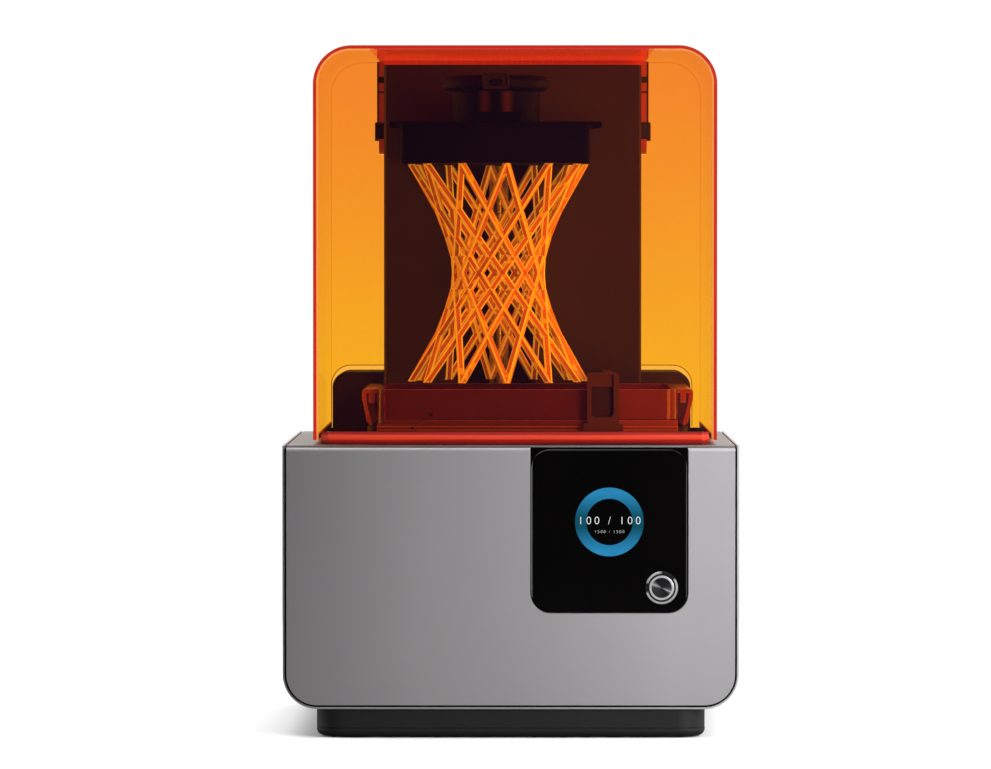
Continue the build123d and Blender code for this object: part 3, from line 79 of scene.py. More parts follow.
# ---- node graphs ----
class Graph:
    """A node tree with short calls to add and join its nodes."""

    def __init__(self, tree):
        self.tree = tree
        tree.nodes.clear()

    def add(self, kind, inputs=(), **settings):
        """A node of a kind, with its inputs set to values or joined to sockets."""
        node = self.tree.nodes.new("ShaderNode" + kind)
        for key, value in settings.items():
            setattr(node, key, value)
        for key, value in dict(inputs).items():
            if isinstance(value, bpy.types.NodeSocket):
                self.tree.links.new(value, node.inputs[key])
            else:
                node.inputs[key].default_value = value
        return node

    def math(self, operation, a, b=0.0, clamp=False):
        """One sum of one or two values."""
        return self.add("Math", {0: a, 1: b}, operation=operation, use_clamp=clamp).outputs[0]

    def spread(self, value, low, high, to_low, to_high):
        """Maps a range of values onto another, held at its ends."""
        return self.add("MapRange", {0: value, 1: low, 2: high, 3: to_low, 4: to_high}).outputs[0]

    def blend(self, share, a, b):
        """Colour a where the share is 0 and colour b where it is 1."""
        node = self.add("Mix", data_type="RGBA")
        for index, value in ((0, share), (6, a), (7, b)):
            if isinstance(value, bpy.types.NodeSocket):
                self.tree.links.new(value, node.inputs[index])
            else:
                node.inputs[index].default_value = value
        return node.outputs[2]

    def noise(self, size, stretch=(1, 1, 1), detail=2.0):
        """Noise in the object's own coordinates, whose features measure size, stretched per axis."""
        place = self.add("TexCoord").outputs["Object"]
        scale = [1 / (size * s) for s in stretch]
        place = self.add("Mapping", {"Vector": place, "Scale": scale}).outputs[0]
        return self.add("TexNoise", {"Vector": place, "Scale": 1.0, "Detail": detail}).outputs[0]

    def grain(self, size, low, high, stretch=(1, 1, 1), detail=2.0):
        """Noise as a value between two limits."""
        return self.spread(self.noise(size, stretch, detail), 0.3, 0.7, low, high)

    def scaled(self, colour, factor):
        """A colour times a value."""
        return self.add("VectorMath", {0: colour, "Scale": factor}, operation="SCALE").outputs["Vector"]

    def relief(self, height, strength, distance):
        """The surface's direction with a fine relief on it."""
        return self.add("Bump", {"Strength": strength, "Distance": distance, "Height": height}).outputs[0]

    def axis(self, name):
        """One of the object's own coordinates, in metres."""
        place = self.add("TexCoord").outputs["Object"]
        return self.add("SeparateXYZ", {0: place}).outputs[name]

    def facing(self, name):
        """One part of the surface's direction in the object's own axes."""
        side = self.add("TexCoord").outputs["Normal"]
        return self.add("SeparateXYZ", {0: side}).outputs[name]

    def edges(self, radius):
        """1 along a solid's edges and 0 on its flat faces."""
        rounded = self.add("Bevel", {"Radius": radius}, samples=4).outputs[0]
        flat = self.add("NewGeometry").outputs["Normal"]
        match = self.add("VectorMath", {0: rounded, 1: flat}, operation="DOT_PRODUCT").outputs["Value"]
        return self.spread(match, 0.80, 0.97, 1.0, 0.0)

    def above(self, value, limit, soft=0.0005):
        """1 above a limit and 0 below it, with a soft step."""
        return self.spread(value, limit - soft, limit + soft, 0.0, 1.0)

    def below(self, value, limit, soft=0.0005):
        """1 below a limit and 0 above it, with a soft step."""
        return self.spread(value, limit - soft, limit + soft, 1.0, 0.0)

    def both(self, a, b):
        """Product of two values."""
        return self.math("MULTIPLY", a, b)

    def either(self, a, b):
        """The higher of two values."""
        return self.math("MAXIMUM", a, b)

    def within(self, value, low, high, soft=0.0002):
        """1 between two limits."""
        return self.both(self.above(value, low, soft), self.below(value, high, soft))

    def aside(self, middle):
        """How far a point lies to the side of a middle, either way, in metres."""
        return self.math("ABSOLUTE", self.math("SUBTRACT", self.axis("X"), middle))

    def length(self, u, v):
        """Length of a vector with two parts."""
        return self.math("SQRT", self.math("ADD", self.both(u, u), self.both(v, v)))

    def corner(self, u, v):
        """Distance from a corner's centre, where u and v count only when they lie past it."""
        return self.length(self.either(u, 0.0), self.either(v, 0.0))

    def ramp(self, value, stops):
        """Colours placed along a value that runs from 0 to 1."""
        node = self.add("ValToRGB", {0: value})
        elements = node.color_ramp.elements
        while len(elements) < len(stops):
            elements.new(0.5)
        for element, (place, colour) in zip(elements, stops):
            element.position = place
            element.color = colour
        return node.outputs[0]

    def finish(self, shader):
        """Joins a shader to the material's output."""
        self.tree.links.new(shader, self.add("OutputMaterial").inputs[0])


def new_graph(name):
    """An empty node material and its graph."""
    material = bpy.data.materials.new(name)
    material.use_nodes = True
    return material, Graph(material.node_tree)


def tint(colour, factor):
    """A colour made darker or lighter by a factor."""
    return tuple(min(1.0, c * factor) for c in colour[:3]) + (1.0,)


def solid(name, colour, rough, metal=0.0, mottle=0.10, mottle_size=0.03, grain=0.0005, stretch=(1, 1, 1),
          rough_spread=0.06, bump=0.15, specular=0.5, painted_glow=0.0, painted_right_colour=None):
    """An opaque finish: mottled colour, grain in its roughness, and the same grain as a fine relief.

    With a painted right colour, the finish runs from its colour at the left to that one at the right, as
    painted shade.
    """
    material, g = new_graph(name)
    broad = g.noise(mottle_size, detail=4.0)
    fine = g.noise(grain, stretch, detail=3.0)
    smudge = g.noise(mottle_size * 2.3, detail=2.0)
    base = g.blend(broad, tint(colour, 1 - mottle), tint(colour, 1 + mottle))
    if painted_right_colour:
        other = g.blend(broad, tint(painted_right_colour, 1 - mottle), tint(painted_right_colour, 1 + mottle))
        base = g.blend(g.spread(g.axis("X"), -0.09, 0.09, 0.0, 1.0), base, other)
    grained = g.spread(fine, 0.3, 0.7, rough - rough_spread, rough + rough_spread)
    smudged = g.spread(smudge, 0.35, 0.7, -rough_spread / 2, rough_spread / 2)
    worn = g.math("ADD", grained, smudged, clamp=True)
    shader = g.add("BsdfPrincipled", {
        "Base Color": base, "Roughness": worn, "Metallic": metal, "Normal": g.relief(fine, bump, grain * 0.5),
        "Specular IOR Level": specular, "Emission Strength": painted_glow})
    # Painted glow: where given, the colour shines with its own light, though the surface is no lamp.
    if painted_glow:
        g.tree.links.new(base, shader.inputs["Emission Color"])
    g.finish(shader.outputs[0])
    return material


def clear_plastic(g, tinted, haze, share, rough=0.12, gloss=0.5, painted_glow=None, painted_glow_strength=0.0,
                  specular=0.3):
    """Tinted clear plastic: light passes with its tint, a little scatters, and its surface shines."""
    clear = g.add("BsdfTransparent", {0: tinted})
    scratch = g.noise(0.0012, (1, 1, 14), detail=3.0)
    body = g.add("BsdfPrincipled", {
        "Base Color": haze, "Roughness": g.spread(scratch, 0.3, 0.7, rough - 0.04, rough + 0.06),
        "Normal": g.relief(scratch, 0.04, 0.0002), "Specular IOR Level": specular})
    # Painted glow: where given, the haze shines with its own light, though the plastic is no lamp.
    if painted_glow is not None:
        g.tree.links.new(painted_glow, body.inputs["Emission Color"])
        body.inputs["Emission Strength"].default_value = painted_glow_strength
    mixed = g.add("MixShader", {0: share, 1: clear.outputs[0], 2: body.outputs[0]})
    shine = g.add("BsdfGlossy", {"Color": (1, 1, 1, 1), "Roughness": 0.05})
    weight = g.both(g.add("Fresnel", {"IOR": 1.45}).outputs[0], gloss)
    g.finish(g.add("MixShader", {0: weight, 1: mixed.outputs[0], 2: shine.outputs[0]}).outputs[0])


def along_height(g, z_low, z_high):
    """0 to 1 from one height to another, a little uneven."""
    height = g.spread(g.axis("Z"), z_low, z_high, 0.0, 1.0)
    wave = g.spread(g.noise(0.09, detail=1.0), 0.2, 0.8, -0.05, 0.05)
    return g.math("ADD", height, wave, clamp=True)


def see_through(name, bottom, top, z_low, z_high, haze, share, rough=0.12, gloss=0.5, painted_glow=0.0):
    """Tinted clear plastic whose tint runs from bottom to top."""
    material, g = new_graph(name)
    tinted = g.blend(along_height(g, z_low, z_high), bottom, top)
    cloudy = g.blend(g.noise(0.02), tint(haze, 0.9), tint(haze, 1.1))
    clear_plastic(g, tinted, cloudy, share, rough, gloss, cloudy if painted_glow else None, painted_glow)
    return material


# ---- places that finishes and pieces share, in metres ----
COVER_X, COVER_HALF, COVER_TOP, COVER_R = 0.0032, 0.1522, 0.521, 0.029
COVER_WALL = 0.0032
INNER_LEFT, INNER_RIGHT = COVER_X - COVER_HALF + COVER_WALL, COVER_X + COVER_HALF - COVER_WALL
ROOF_UNDER = COVER_TOP - COVER_WALL
INNER_R = COVER_R - COVER_WALL
BACK_Y = 0.1568
TOWER_X, BAND_HALF = 0.0009, 0.1065
NECK_X = -0.0117
PANEL_HALF, PANEL_R, PANEL_FOOT = 0.1685, 0.023, 0.025
BUTTON_X, BUTTON_Z = 0.1133, 0.1134

# ---- the cover's plastic ----
EDGE_WIDTH, HIGHLIGHT_WIDTH = 0.0025, 0.0042
AMBER = (1.0, 0.70, 0.215, 1)
VEIL = (0.22, 0.10, 0.45, 1)
# The red edge colour is partly the cut edge's own red and partly painted glow; the pale edge colour below is
# a painted highlight.
RED_EDGE = (0.60, 0.028, 0.012, 1)
EDGE_HIGHLIGHT = (1.0, 0.36, 0.05, 1)


def arch_depth(g):
    """How deep a point lies inside the cover's arch outline, in metres."""
    u = g.math("SUBTRACT", g.aside(COVER_X), COVER_HALF - COVER_R)
    v = g.math("SUBTRACT", g.axis("Z"), COVER_TOP - COVER_R)
    inner = g.math("MINIMUM", g.either(u, v), 0.0)
    return g.math("SUBTRACT", COVER_R, g.math("ADD", g.corner(u, v), inner))


def over_tower(g):
    """1 in the strip of the cover that lies before and above the tower."""
    return g.below(g.aside(TOWER_X), BAND_HALF, 0.001)


def cover_sheet():
    """Front sheet: amber, with a red band along its cut edge, partly the edge's own red and partly painted
    glow, and a pale line inside it, a painted highlight; both darker to the right as painted shade.
    """
    material, g = new_graph("cover_amber")
    depth = arch_depth(g)
    red = g.below(depth, EDGE_WIDTH, 0.0002)
    banded = g.both(over_tower(g), g.above(g.axis("Z"), 0.5))
    pale = g.both(g.below(depth, HIGHLIGHT_WIDTH, 0.0003), g.above(depth, EDGE_WIDTH, 0.0002))
    pale = g.both(pale, g.math("SUBTRACT", 1.0, banded))
    # Painted shade: the edge band and the line inside it grow darker toward the right.
    across = g.spread(g.axis("X"), -0.12, 0.12, 0.0, 1.0)
    deep = g.blend(across, RED_EDGE, tint(RED_EDGE, 0.55))
    edge = g.blend(red, g.blend(across, tint(EDGE_HIGHLIGHT, 0.85), tint(EDGE_HIGHLIGHT, 0.5)),
                   g.blend(g.noise(0.006), deep, tint(RED_EDGE, 0.75)))
    share = g.math("ADD", 0.012, g.math("ADD", g.both(red, 0.95), g.both(pale, 0.5)))
    lit = g.either(red, pale)
    haze = g.blend(lit, g.blend(g.noise(0.02), tint(VEIL, 0.92), tint(VEIL, 1.08)), edge)
    # Painted glow of the red edge band and of the pale highlight line.
    painted_glow = g.blend(lit, (0, 0, 0, 1), g.blend(pale, tint(RED_EDGE, 0.35), EDGE_HIGHLIGHT))
    tinted = g.blend(g.noise(0.09, detail=1.0), tint(AMBER, 0.985), AMBER)
    clear_plastic(g, tinted, haze, share, gloss=0.3, painted_glow=painted_glow, painted_glow_strength=0.45)
    return material


def cover_arch():
    """Sides, roof and back: amber seen straight, paler seen along the sheet as a painted reflection, paler at
    the back, and red with painted glow under the roof and along the walls' foot.
    """
    material, g = new_graph("cover_amber_arch")
    pale = g.blend(along_height(g, 0.27, 0.50), (1.0, 0.955, 0.50, 1), (0.985, 0.725, 0.66, 1))
    # Painted reflection: the tint turns pale where the sheet is seen at a grazing angle.
    grazing = g.spread(g.add("LayerWeight", {"Blend": 0.5}).outputs["Facing"], 0.75, 0.93, 0.0, 1.0)
    back = g.above(g.math("ABSOLUTE", g.facing("Y")), 0.8, 0.1)
    tinted = g.blend(g.either(grazing, back), AMBER, pale)
    # Painted glow: the roof's underside over the tower and the walls' foot shine red, with painted reflection
    # streaks.
    under = g.both(g.below(g.facing("Z"), -0.7, 0.1), g.above(g.axis("Z"), 0.514))
    roof = g.both(under, over_tower(g))
    foot = g.both(g.below(g.facing("Z"), -0.7, 0.1), g.below(g.axis("Z"), 0.2245))
    red = g.either(roof, foot)
    edge = red_glow_streaks(g)
    haze = g.blend(red, (0.80, 0.25, 0.20, 1), edge)
    painted_glow = g.blend(red, (0, 0, 0, 1), edge)
    share = g.math("ADD", 0.006, g.both(red, 0.99))
    gloss = g.spread(red, 0.0, 1.0, 0.12, 0.01)
    clear_plastic(g, tinted, haze, share, gloss=gloss, painted_glow=painted_glow, painted_glow_strength=0.75)
    return material


def red_glow_streaks(g):
    """Red with fine lines along the roof, a painted glow with painted reflection lines."""
    streaks = g.noise(0.004, (60, 1, 0.3), detail=3.0)
    return g.blend(g.spread(streaks, 0.3, 0.7, 0.0, 1.0), (0.46, 0.030, 0.020, 1), (0.62, 0.075, 0.050, 1))


def red_band():
    """Red plastic seen along its sheet, with painted glow and painted reflection lines."""
    material, g = new_graph("roof_red")
    shade = red_glow_streaks(g)
    clear_plastic(g, (0.7, 0.1, 0.05, 1), shade, 0.96, rough=0.25, gloss=0.05, painted_glow=shade, painted_glow_strength=0.55)
    return material


def finger_bar():
    """The lip: thick plastic, with a painted highlight across its upper half, painted shade down to dark red
    at its foot, and a painted glow.
    """
    material, g = new_graph("cover_lip")
    height = g.spread(g.axis("Z"), 0.2204, 0.2300, 0.0, 1.0)
    streak = g.spread(g.noise(0.002, (40, 1, 1)), 0.3, 0.7, -0.05, 0.05)
    # Painted highlight and shade: bright across the upper half, darker at the very top and near black at the
    # foot.
    shade = g.ramp(g.math("ADD", height, streak, clamp=True), [
        (0.0, (0.04, 0.003, 0.003, 1)), (0.16, (0.12, 0.005, 0.005, 1)), (0.34, (0.27, 0.010, 0.007, 1)),
        (0.45, (0.52, 0.036, 0.013, 1)), (0.70, (0.58, 0.054, 0.026, 1)), (0.83, (0.28, 0.018, 0.015, 1)),
        (1.0, (0.22, 0.014, 0.013, 1))])
    clear_plastic(g, shade, shade, 0.99, rough=0.5, gloss=0.0, painted_glow=shade, painted_glow_strength=0.25, specular=0.04)
    return material


# ---- metals and glass ----
GROOVE = 0.00025
# Bright arcs by angle for the ring and the button: painted highlights.
RING_HIGHLIGHT_STOPS = [(0.0, 0.0), (0.040, 0.0), (0.060, 0.85), (0.25, 0.75), (0.50, 0.85), (0.585, 0.8), (0.605, 0.0),
              (0.742, 0.0), (0.768, 0.7), (0.847, 1.0), (0.935, 0.7), (0.958, 0.0), (1.0, 0.0)]
BUTTON_HIGHLIGHT_STOPS = [(0.0, 0.05), (0.38, 0.0), (0.415, 0.25), (0.436, 0.95), (0.457, 0.25), (0.50, 0.05),
                (0.60, 0.0), (0.86, 0.0), (0.905, 0.25), (0.936, 0.85), (0.967, 0.25), (1.0, 0.05)]


def spun(name, stops, rim_highlight_from, rim_highlight_to, shadow_to):
    """Turned metal: painted highlight arcs by angle, a painted highlight rim, painted shadow in the gap
    inside it, the highlights glowing a little as painted light, and fine rings.
    """
    material, g = new_graph(name)
    u = g.math("SUBTRACT", g.axis("X"), BUTTON_X)
    v = g.math("SUBTRACT", g.axis("Z"), BUTTON_Z)
    turn = g.spread(g.math("ARCTAN2", v, u), -math.pi, math.pi, 0.0, 1.0)
    arcs = g.ramp(turn, [(place, (level, level, level, 1)) for place, level in stops])
    radius = g.length(u, v)
    rim = g.both(g.above(radius, rim_highlight_from, 0.00015), g.below(radius, rim_highlight_to, 0.0001))
    # Painted shadow: dark inside the given radius, in the gap within the ring.
    unshaded = g.above(radius, shadow_to, 0.0001)
    level = g.both(g.either(arcs, rim), unshaded)
    rings = g.math("SINE", g.both(radius, 2 * math.pi / GROOVE))
    bright = (0.55, 0.55, 0.56, 1)
    base = g.blend(g.both(level, g.grain(0.0015, 0.9, 1.0)), (0.02, 0.02, 0.022, 1), bright)
    # Painted glow: the highlights shine a little with their own light.
    shader = g.add("BsdfPrincipled", {
        "Base Color": base, "Roughness": g.grain(0.0006, 0.28, 0.38), "Metallic": 0.85,
        "Normal": g.relief(rings, 0.12, 0.00004), "Emission Color": g.blend(level, (0, 0, 0, 1), bright),
        "Emission Strength": 0.25})
    g.finish(shader.outputs[0])
    return material


def satin(g, base, metallic, specular):
    """Ends a graph as satin metal with a fine grain."""
    size = 0.00035
    fine = g.noise(size, detail=3.0)
    shader = g.add("BsdfPrincipled", {
        "Base Color": base, "Roughness": g.spread(fine, 0.3, 0.7, 0.43, 0.53), "Metallic": metallic,
        "Normal": g.relief(fine, 0.10, size / 2), "Specular IOR Level": specular})
    g.finish(shader.outputs[0])


def panel_metal():
    """Satin metal of the front panel, with painted shade darker at both ends, where it rolls back at its top
    and on faces that look up, and a painted highlight along the crest of the roll.
    """
    material, g = new_graph("front_silver")
    colour = (0.44, 0.428, 0.44)
    mottled = g.blend(g.noise(0.03, detail=4.0), tint(colour, 0.98), tint(colour, 1.02))
    # Painted shade: darker toward both ends.
    left = g.spread(g.axis("X"), -0.168, -0.07, 0.80, 1.0)
    right = g.spread(g.axis("X"), 0.12, 0.168, 1.0, 0.88)
    mottled = g.scaled(mottled, g.both(left, right))
    z = g.axis("Z")
    # Painted highlight along the crest of the roll, and painted shade on the roll above it and on faces that
    # look up.
    crest_z, roll_z = 0.2160, 0.2179
    rolled = g.above(z, roll_z, 0.0004)
    crest = g.both(g.above(z, crest_z, 0.0003), g.below(z, roll_z, 0.0004))
    base = g.blend(rolled, g.blend(crest, mottled, tint(colour, 1.15)), tint(colour, 0.75))
    base = g.blend(g.above(g.facing("Z"), 0.7, 0.1), base, tint(colour, 0.25))
    satin(g, base, 0.9, 0.5)
    return material


def deck_metal():
    """Satin metal of the deck round the cover, and the black seal plate inside it."""
    material, g = new_graph("deck_silver")
    plate_half, plate_front = COVER_HALF - COVER_WALL, -0.1418
    inside = g.both(g.below(g.aside(COVER_X), plate_half, 0.0003), g.above(g.axis("Y"), plate_front, 0.0003))
    mottled = g.blend(g.noise(0.03, detail=4.0), (0.315, 0.31, 0.32, 1), (0.33, 0.325, 0.335, 1))
    satin(g, g.blend(inside, mottled, (0.03, 0.012, 0.010, 1)), g.spread(inside, 0, 1, 0.9, 0.0), 0.2)
    return material


def shell_metal():
    """Satin metal of the case, with a painted black shadow line on its front rim, round the panel."""
    material, g = new_graph("shell_silver")
    shadow_line_width = 0.0016
    # Painted shadow: a black line on the rim's front face, round the panel, where the gap lies in shade.
    u = g.math("SUBTRACT", g.aside(0.0), PANEL_HALF - PANEL_R)
    v = g.math("SUBTRACT", PANEL_FOOT + PANEL_R, g.axis("Z"))
    near = g.below(g.corner(u, v), PANEL_R + shadow_line_width, 0.0001)
    gap = g.both(near, g.below(g.facing("Y"), -0.7, 0.1))
    mottled = g.blend(g.noise(0.03, detail=4.0), (0.49, 0.475, 0.49, 1), (0.51, 0.495, 0.51, 1))
    base = g.blend(gap, mottled, (0.004, 0.004, 0.004, 1))
    satin(g, base, g.spread(gap, 0, 1, 0.9, 0.0), g.spread(gap, 0, 1, 0.5, 0.05))
    return material


def glass_face():
    """Black screen glass with rounded corners; the bezel in the notch's top corners shows as painted grey
    sheen, and a painted highlight line runs along the rounded corners.
    """
    material, g = new_graph("screen_glass")
    middle, half, top, corner = 0.0739, 0.0583, 0.2166, 0.0115
    u = g.math("SUBTRACT", g.aside(middle), half - corner)
    out = g.corner(u, g.math("SUBTRACT", g.axis("Z"), top - corner))
    u_out = g.either(u, 0.0)
    outside = g.above(out, corner, 0.0002)
    height = g.spread(g.axis("Z"), top - corner, top, 0.0, 1.0)
    # Painted highlight: a thin bright line along the glass's rounded top corners.
    line = g.within(out, corner - 0.0005, corner, 0.0001)
    line = g.both(line, g.spread(u_out, 0.001, 0.008, 0.0, 1.0))
    # Painted light: the corners' grey grows toward the top, the outer sides and the left.
    left = g.spread(g.axis("X"), middle - half, middle + half, 1.0, 0.35)
    inward = g.spread(u_out, 0.0, corner, 0.35, 1.0)
    grey = g.either(g.both(g.both(g.both(outside, height), inward), 0.16), g.both(line, 0.20))
    grey = g.both(grey, left)
    black = g.blend(g.noise(0.06, detail=4.0), (0.0012, 0.0010, 0.0010, 1), (0.0020, 0.0016, 0.0016, 1))
    shader = g.add("BsdfPrincipled", {
        "Base Color": g.blend(grey, black, (1, 1, 1, 1)), "Roughness": g.grain(0.0008, 0.08, 0.12),
        "Specular IOR Level": 0.35})
    g.finish(shader.outputs[0])
    return material


def tank_plastic():
    """Tinted tank: dark walls with painted shade, darker on the left and lighter on the right, bright grips,
    painted highlights along its edges and in fine lines along its foot, and a faint painted glow.
    """
    material, g = new_graph("tank_tinted")
    z = g.axis("Z")
    left, right, skirt_top = -0.1016, 0.1268, 0.2385
    ends = g.either(g.below(g.axis("X"), left, 0.0004), g.above(g.axis("X"), right, 0.0004))
    # Painted highlights: two fine bright lines along the foot.
    lines = g.either(g.within(z, 0.2330, 0.2336), g.within(z, 0.2306, 0.2312))
    # Painted highlight along the solid's edges.
    rim = g.edges(0.0009)
    # Painted shade: the wall darker to the left of x 0.045 and lighter to the right of x 0.085.
    shade = g.spread(g.axis("X"), 0.045, 0.085, 0.68, 1.22)
    wall = g.blend(g.noise(0.02), (0.20, 0.055, 0.085, 1), (0.26, 0.068, 0.105, 1))
    low = g.below(z, skirt_top, 0.0004)
    wall = g.blend(low, wall, (0.33, 0.10, 0.14, 1))
    wall = g.scaled(wall, shade)
    wall = g.blend(ends, wall, (0.50, 0.13, 0.19, 1))
    lit = g.either(rim, g.both(lines, low))
    shaded = g.blend(g.both(lit, 0.75), wall, (0.85, 0.30, 0.36, 1))
    share = g.either(g.math("ADD", 0.5, g.both(ends, 0.2)), g.both(lit, 0.75))
    tinted = g.blend(g.noise(0.09, detail=1.0), (0.70, 0.15, 0.06, 1), (0.76, 0.18, 0.07, 1))
    clear_plastic(g, tinted, shaded, share, gloss=0.25, painted_glow=shaded, painted_glow_strength=0.06)
    return material


def arm_black():
    """Black of the platform's arm, with two soft red streaks down its round neck, painted reflections."""
    material, g = new_graph("arm_black")
    # Painted reflection: two soft red streaks either side of the neck's middle, on faces that look sideways.
    off_centre = g.aside(NECK_X)
    inner_side = g.spread(off_centre, 0.003, 0.008, 0.0, 1.0)
    outer_side = g.spread(off_centre, 0.009, 0.014, 1.0, 0.0)
    streak = g.both(inner_side, outer_side)
    streak = g.both(streak, g.below(g.math("ABSOLUTE", g.facing("Z")), 0.5, 0.1))
    fine = g.noise(0.0003, detail=3.0)
    black = g.blend(g.noise(0.03, detail=4.0), (0.0025, 0.0022, 0.0022, 1), (0.004, 0.0035, 0.0035, 1))
    base = g.blend(streak, black, (0.075, 0.030, 0.045, 1))
    shader = g.add("BsdfPrincipled", {
        "Base Color": base, "Normal": g.relief(fine, 0.2, 0.00015),
        "Roughness": g.spread(fine, 0.3, 0.7, 0.45, 0.6), "Specular IOR Level": 0.03})
    g.finish(shader.outputs[0])
    return material


def resin(name, front, side, painted_glow):
    """Cured resin: deep orange, yellower where a bar faces sideways as painted light, with painted bright
    highlight spots scattered by noise, and a painted glow.
    """
    material, g = new_graph(name)
    # Painted light: bars turn yellower where they face sideways, toward the side lamps.
    sideways = g.spread(g.math("ABSOLUTE", g.facing("X")), 0.45, 0.95, 0.0, 1.0)
    mottle = g.noise(0.012, detail=4.0)
    base = g.blend(sideways, g.blend(mottle, tint(front, 0.8), tint(front, 1.2)),
                   g.blend(mottle, tint(side, 0.85), tint(side, 1.15)))
    # Painted highlights: bright yellow spots scattered by noise.
    spots = g.spread(g.noise(0.0075, detail=0.0), 0.65, 0.71, 0.0, 1.0)
    base = g.blend(spots, base, (1.0, 0.78, 0.04, 1))
    layers = g.noise(0.0005, (8, 8, 1), detail=3.0)
    shader = g.add("BsdfPrincipled", {
        "Base Color": base, "Roughness": g.spread(layers, 0.3, 0.7, 0.26, 0.38),
        "Normal": g.relief(layers, 0.25, 0.00025), "Emission Color": base, "Emission Strength": painted_glow})
    g.finish(shader.outputs[0])
    return material


# ---- plain finishes ----
silver = solid("silver", (0.50, 0.485, 0.50), 0.48, metal=0.9, mottle=0.02, grain=0.00035,
               rough_spread=0.05, bump=0.10)
black_paint = solid("black_paint", (0.022, 0.021, 0.022), 0.5, mottle=0.15, grain=0.0004,
                    bump=0.3, specular=0.3)
black_plastic = solid("black_plastic", (0.012, 0.011, 0.011), 0.55, mottle=0.15, grain=0.0003,
                      bump=0.35, specular=0.25)
tower_black = solid("tower_black", (0.050, 0.042, 0.045), 0.6, grain=0.0004, bump=0.3, specular=0.12)
# Painted shade: the tower's face runs darker toward the right.
tower_face = solid("tower_face", (0.070, 0.062, 0.070), 0.6, grain=0.0004, bump=0.3, specular=0.12,
                   painted_right_colour=(0.043, 0.032, 0.055))
seam_black = solid("seam_black", (0.002, 0.002, 0.002), 0.7, mottle=0.15, grain=0.0004,
                   bump=0.2, specular=0.02)
plinth_black = solid("plinth_black", (0.010, 0.009, 0.009), 0.6, mottle=0.15, grain=0.0006,
                     bump=0.4, specular=0.25)
platform_black = solid("platform_black", (0.003, 0.0028, 0.0028), 0.55, mottle=0.2, grain=0.0003,
                       stretch=(6, 1, 1), bump=0.2, specular=0.03)
display_black = solid("display_black", (0.0015, 0.0012, 0.0012), 0.10, mottle=0.3, mottle_size=0.06,
                      grain=0.0008, rough_spread=0.02, bump=0.01, specular=0.35)
wiper_plastic = solid("wiper_plastic", (0.075, 0.03, 0.035), 0.5, mottle=0.12, grain=0.0004,
                      bump=0.3, specular=0.3)
wiper_dark = solid("wiper_dark", (0.030, 0.016, 0.022), 0.6, bump=0.2, specular=0.15)
lever_black = solid("lever_black", (0.0045, 0.0035, 0.0035), 0.5, mottle=0.15, grain=0.0003,
                    bump=0.3, specular=0.05)
tab_black = solid("tab_black", (0.022, 0.014, 0.018), 0.5, mottle=0.15, grain=0.0003,
                  bump=0.3, specular=0.15)
dark_line = solid("shadow_line", (0.006, 0.004, 0.004), 0.7, mottle=0.2, grain=0.0004,
                  bump=0.2, specular=0.1)
dark_red = solid("dark_red_plastic", (0.10, 0.018, 0.014), 0.45, mottle=0.2, grain=0.0006,
                 bump=0.2, specular=0.2)
# Painted highlight: a pale line that glows, though it is no lamp.
highlight_line = solid("pale_amber", (0.95, 0.55, 0.25), 0.4, grain=0.0006, bump=0.1, painted_glow=0.25)
rubber = solid("rubber", (0.018, 0.018, 0.018), 0.8, mottle=0.2, grain=0.0006, bump=0.4, specular=0.2)
steel = solid("steel", (0.56, 0.56, 0.57), 0.28, metal=1.0, mottle=0.05, grain=0.0003,
              stretch=(1, 12, 1), bump=0.1)
brass = solid("brass", (0.72, 0.52, 0.22), 0.3, metal=1.0, mottle=0.08, grain=0.0004, bump=0.1)
cast_metal = solid("cast_metal", (0.42, 0.42, 0.43), 0.5, metal=0.9, mottle=0.12, grain=0.0012, bump=0.5)
mirror = solid("mirror", (0.92, 0.93, 0.93), 0.04, metal=1.0, mottle=0.01, grain=0.002,
               rough_spread=0.02, bump=0.0)
circuit = solid("circuit", (0.02, 0.17, 0.07), 0.4, mottle=0.35, mottle_size=0.006, grain=0.0008, bump=0.3)

# ---- finishes with a pattern of their own ----
print_body = resin("print_resin", (0.76, 0.27, 0.20, 1), (1.0, 0.60, 0.24, 1), 0.06)
# Painted edge glow: brighter, more glowing resin for the bars' bevelled edges.
print_edge_glow = resin("print_resin_edge_glow", (1.0, 0.80, 0.38, 1), (1.0, 0.86, 0.40, 1), 0.38)
cover_orange = cover_sheet()
wrap_orange = cover_arch()
lip_orange = finger_bar()
# Painted glow: the hinge arms' haze shines a little with its own light.
arm_orange = see_through("arm_orange", (0.70, 0.10, 0.06, 1), (0.75, 0.10, 0.06, 1), 0.44, 0.50,
                         (0.50, 0.092, 0.085, 1), 0.9, rough=0.25, gloss=0.1, painted_glow=0.2)
tank_orange = tank_plastic()
neck_black = arm_black()
cartridge_amber = see_through("cartridge_amber", (0.72, 0.22, 0.04, 1), (0.75, 0.26, 0.05, 1), 0.25, 0.50,
                              (0.16, 0.045, 0.012, 1), 0.75, rough=0.25, gloss=0.15)
roof_red = red_band()
clear_glass = see_through("clear_glass", (0.93, 0.96, 0.95, 1), (0.93, 0.96, 0.95, 1), 0.19, 0.20,
                          (0.8, 0.85, 0.85, 1), 0.03, rough=0.05)
ring_metal = spun("spun_ring", RING_HIGHLIGHT_STOPS, 1.0, 2.0, 0.0106)
button_metal = spun("spun_button", BUTTON_HIGHLIGHT_STOPS, 0.0076, 0.0092, 0.0)
front_silver = panel_metal()
deck_silver = deck_metal()
shell_silver = shell_metal()
screen_glass = glass_face()
dark_amber = see_through("dark_amber", (0.86, 0.42, 0.12, 1), (0.80, 0.30, 0.10, 1), 0.22, 0.52,
                         (0.35, 0.09, 0.02, 1), 0.35)
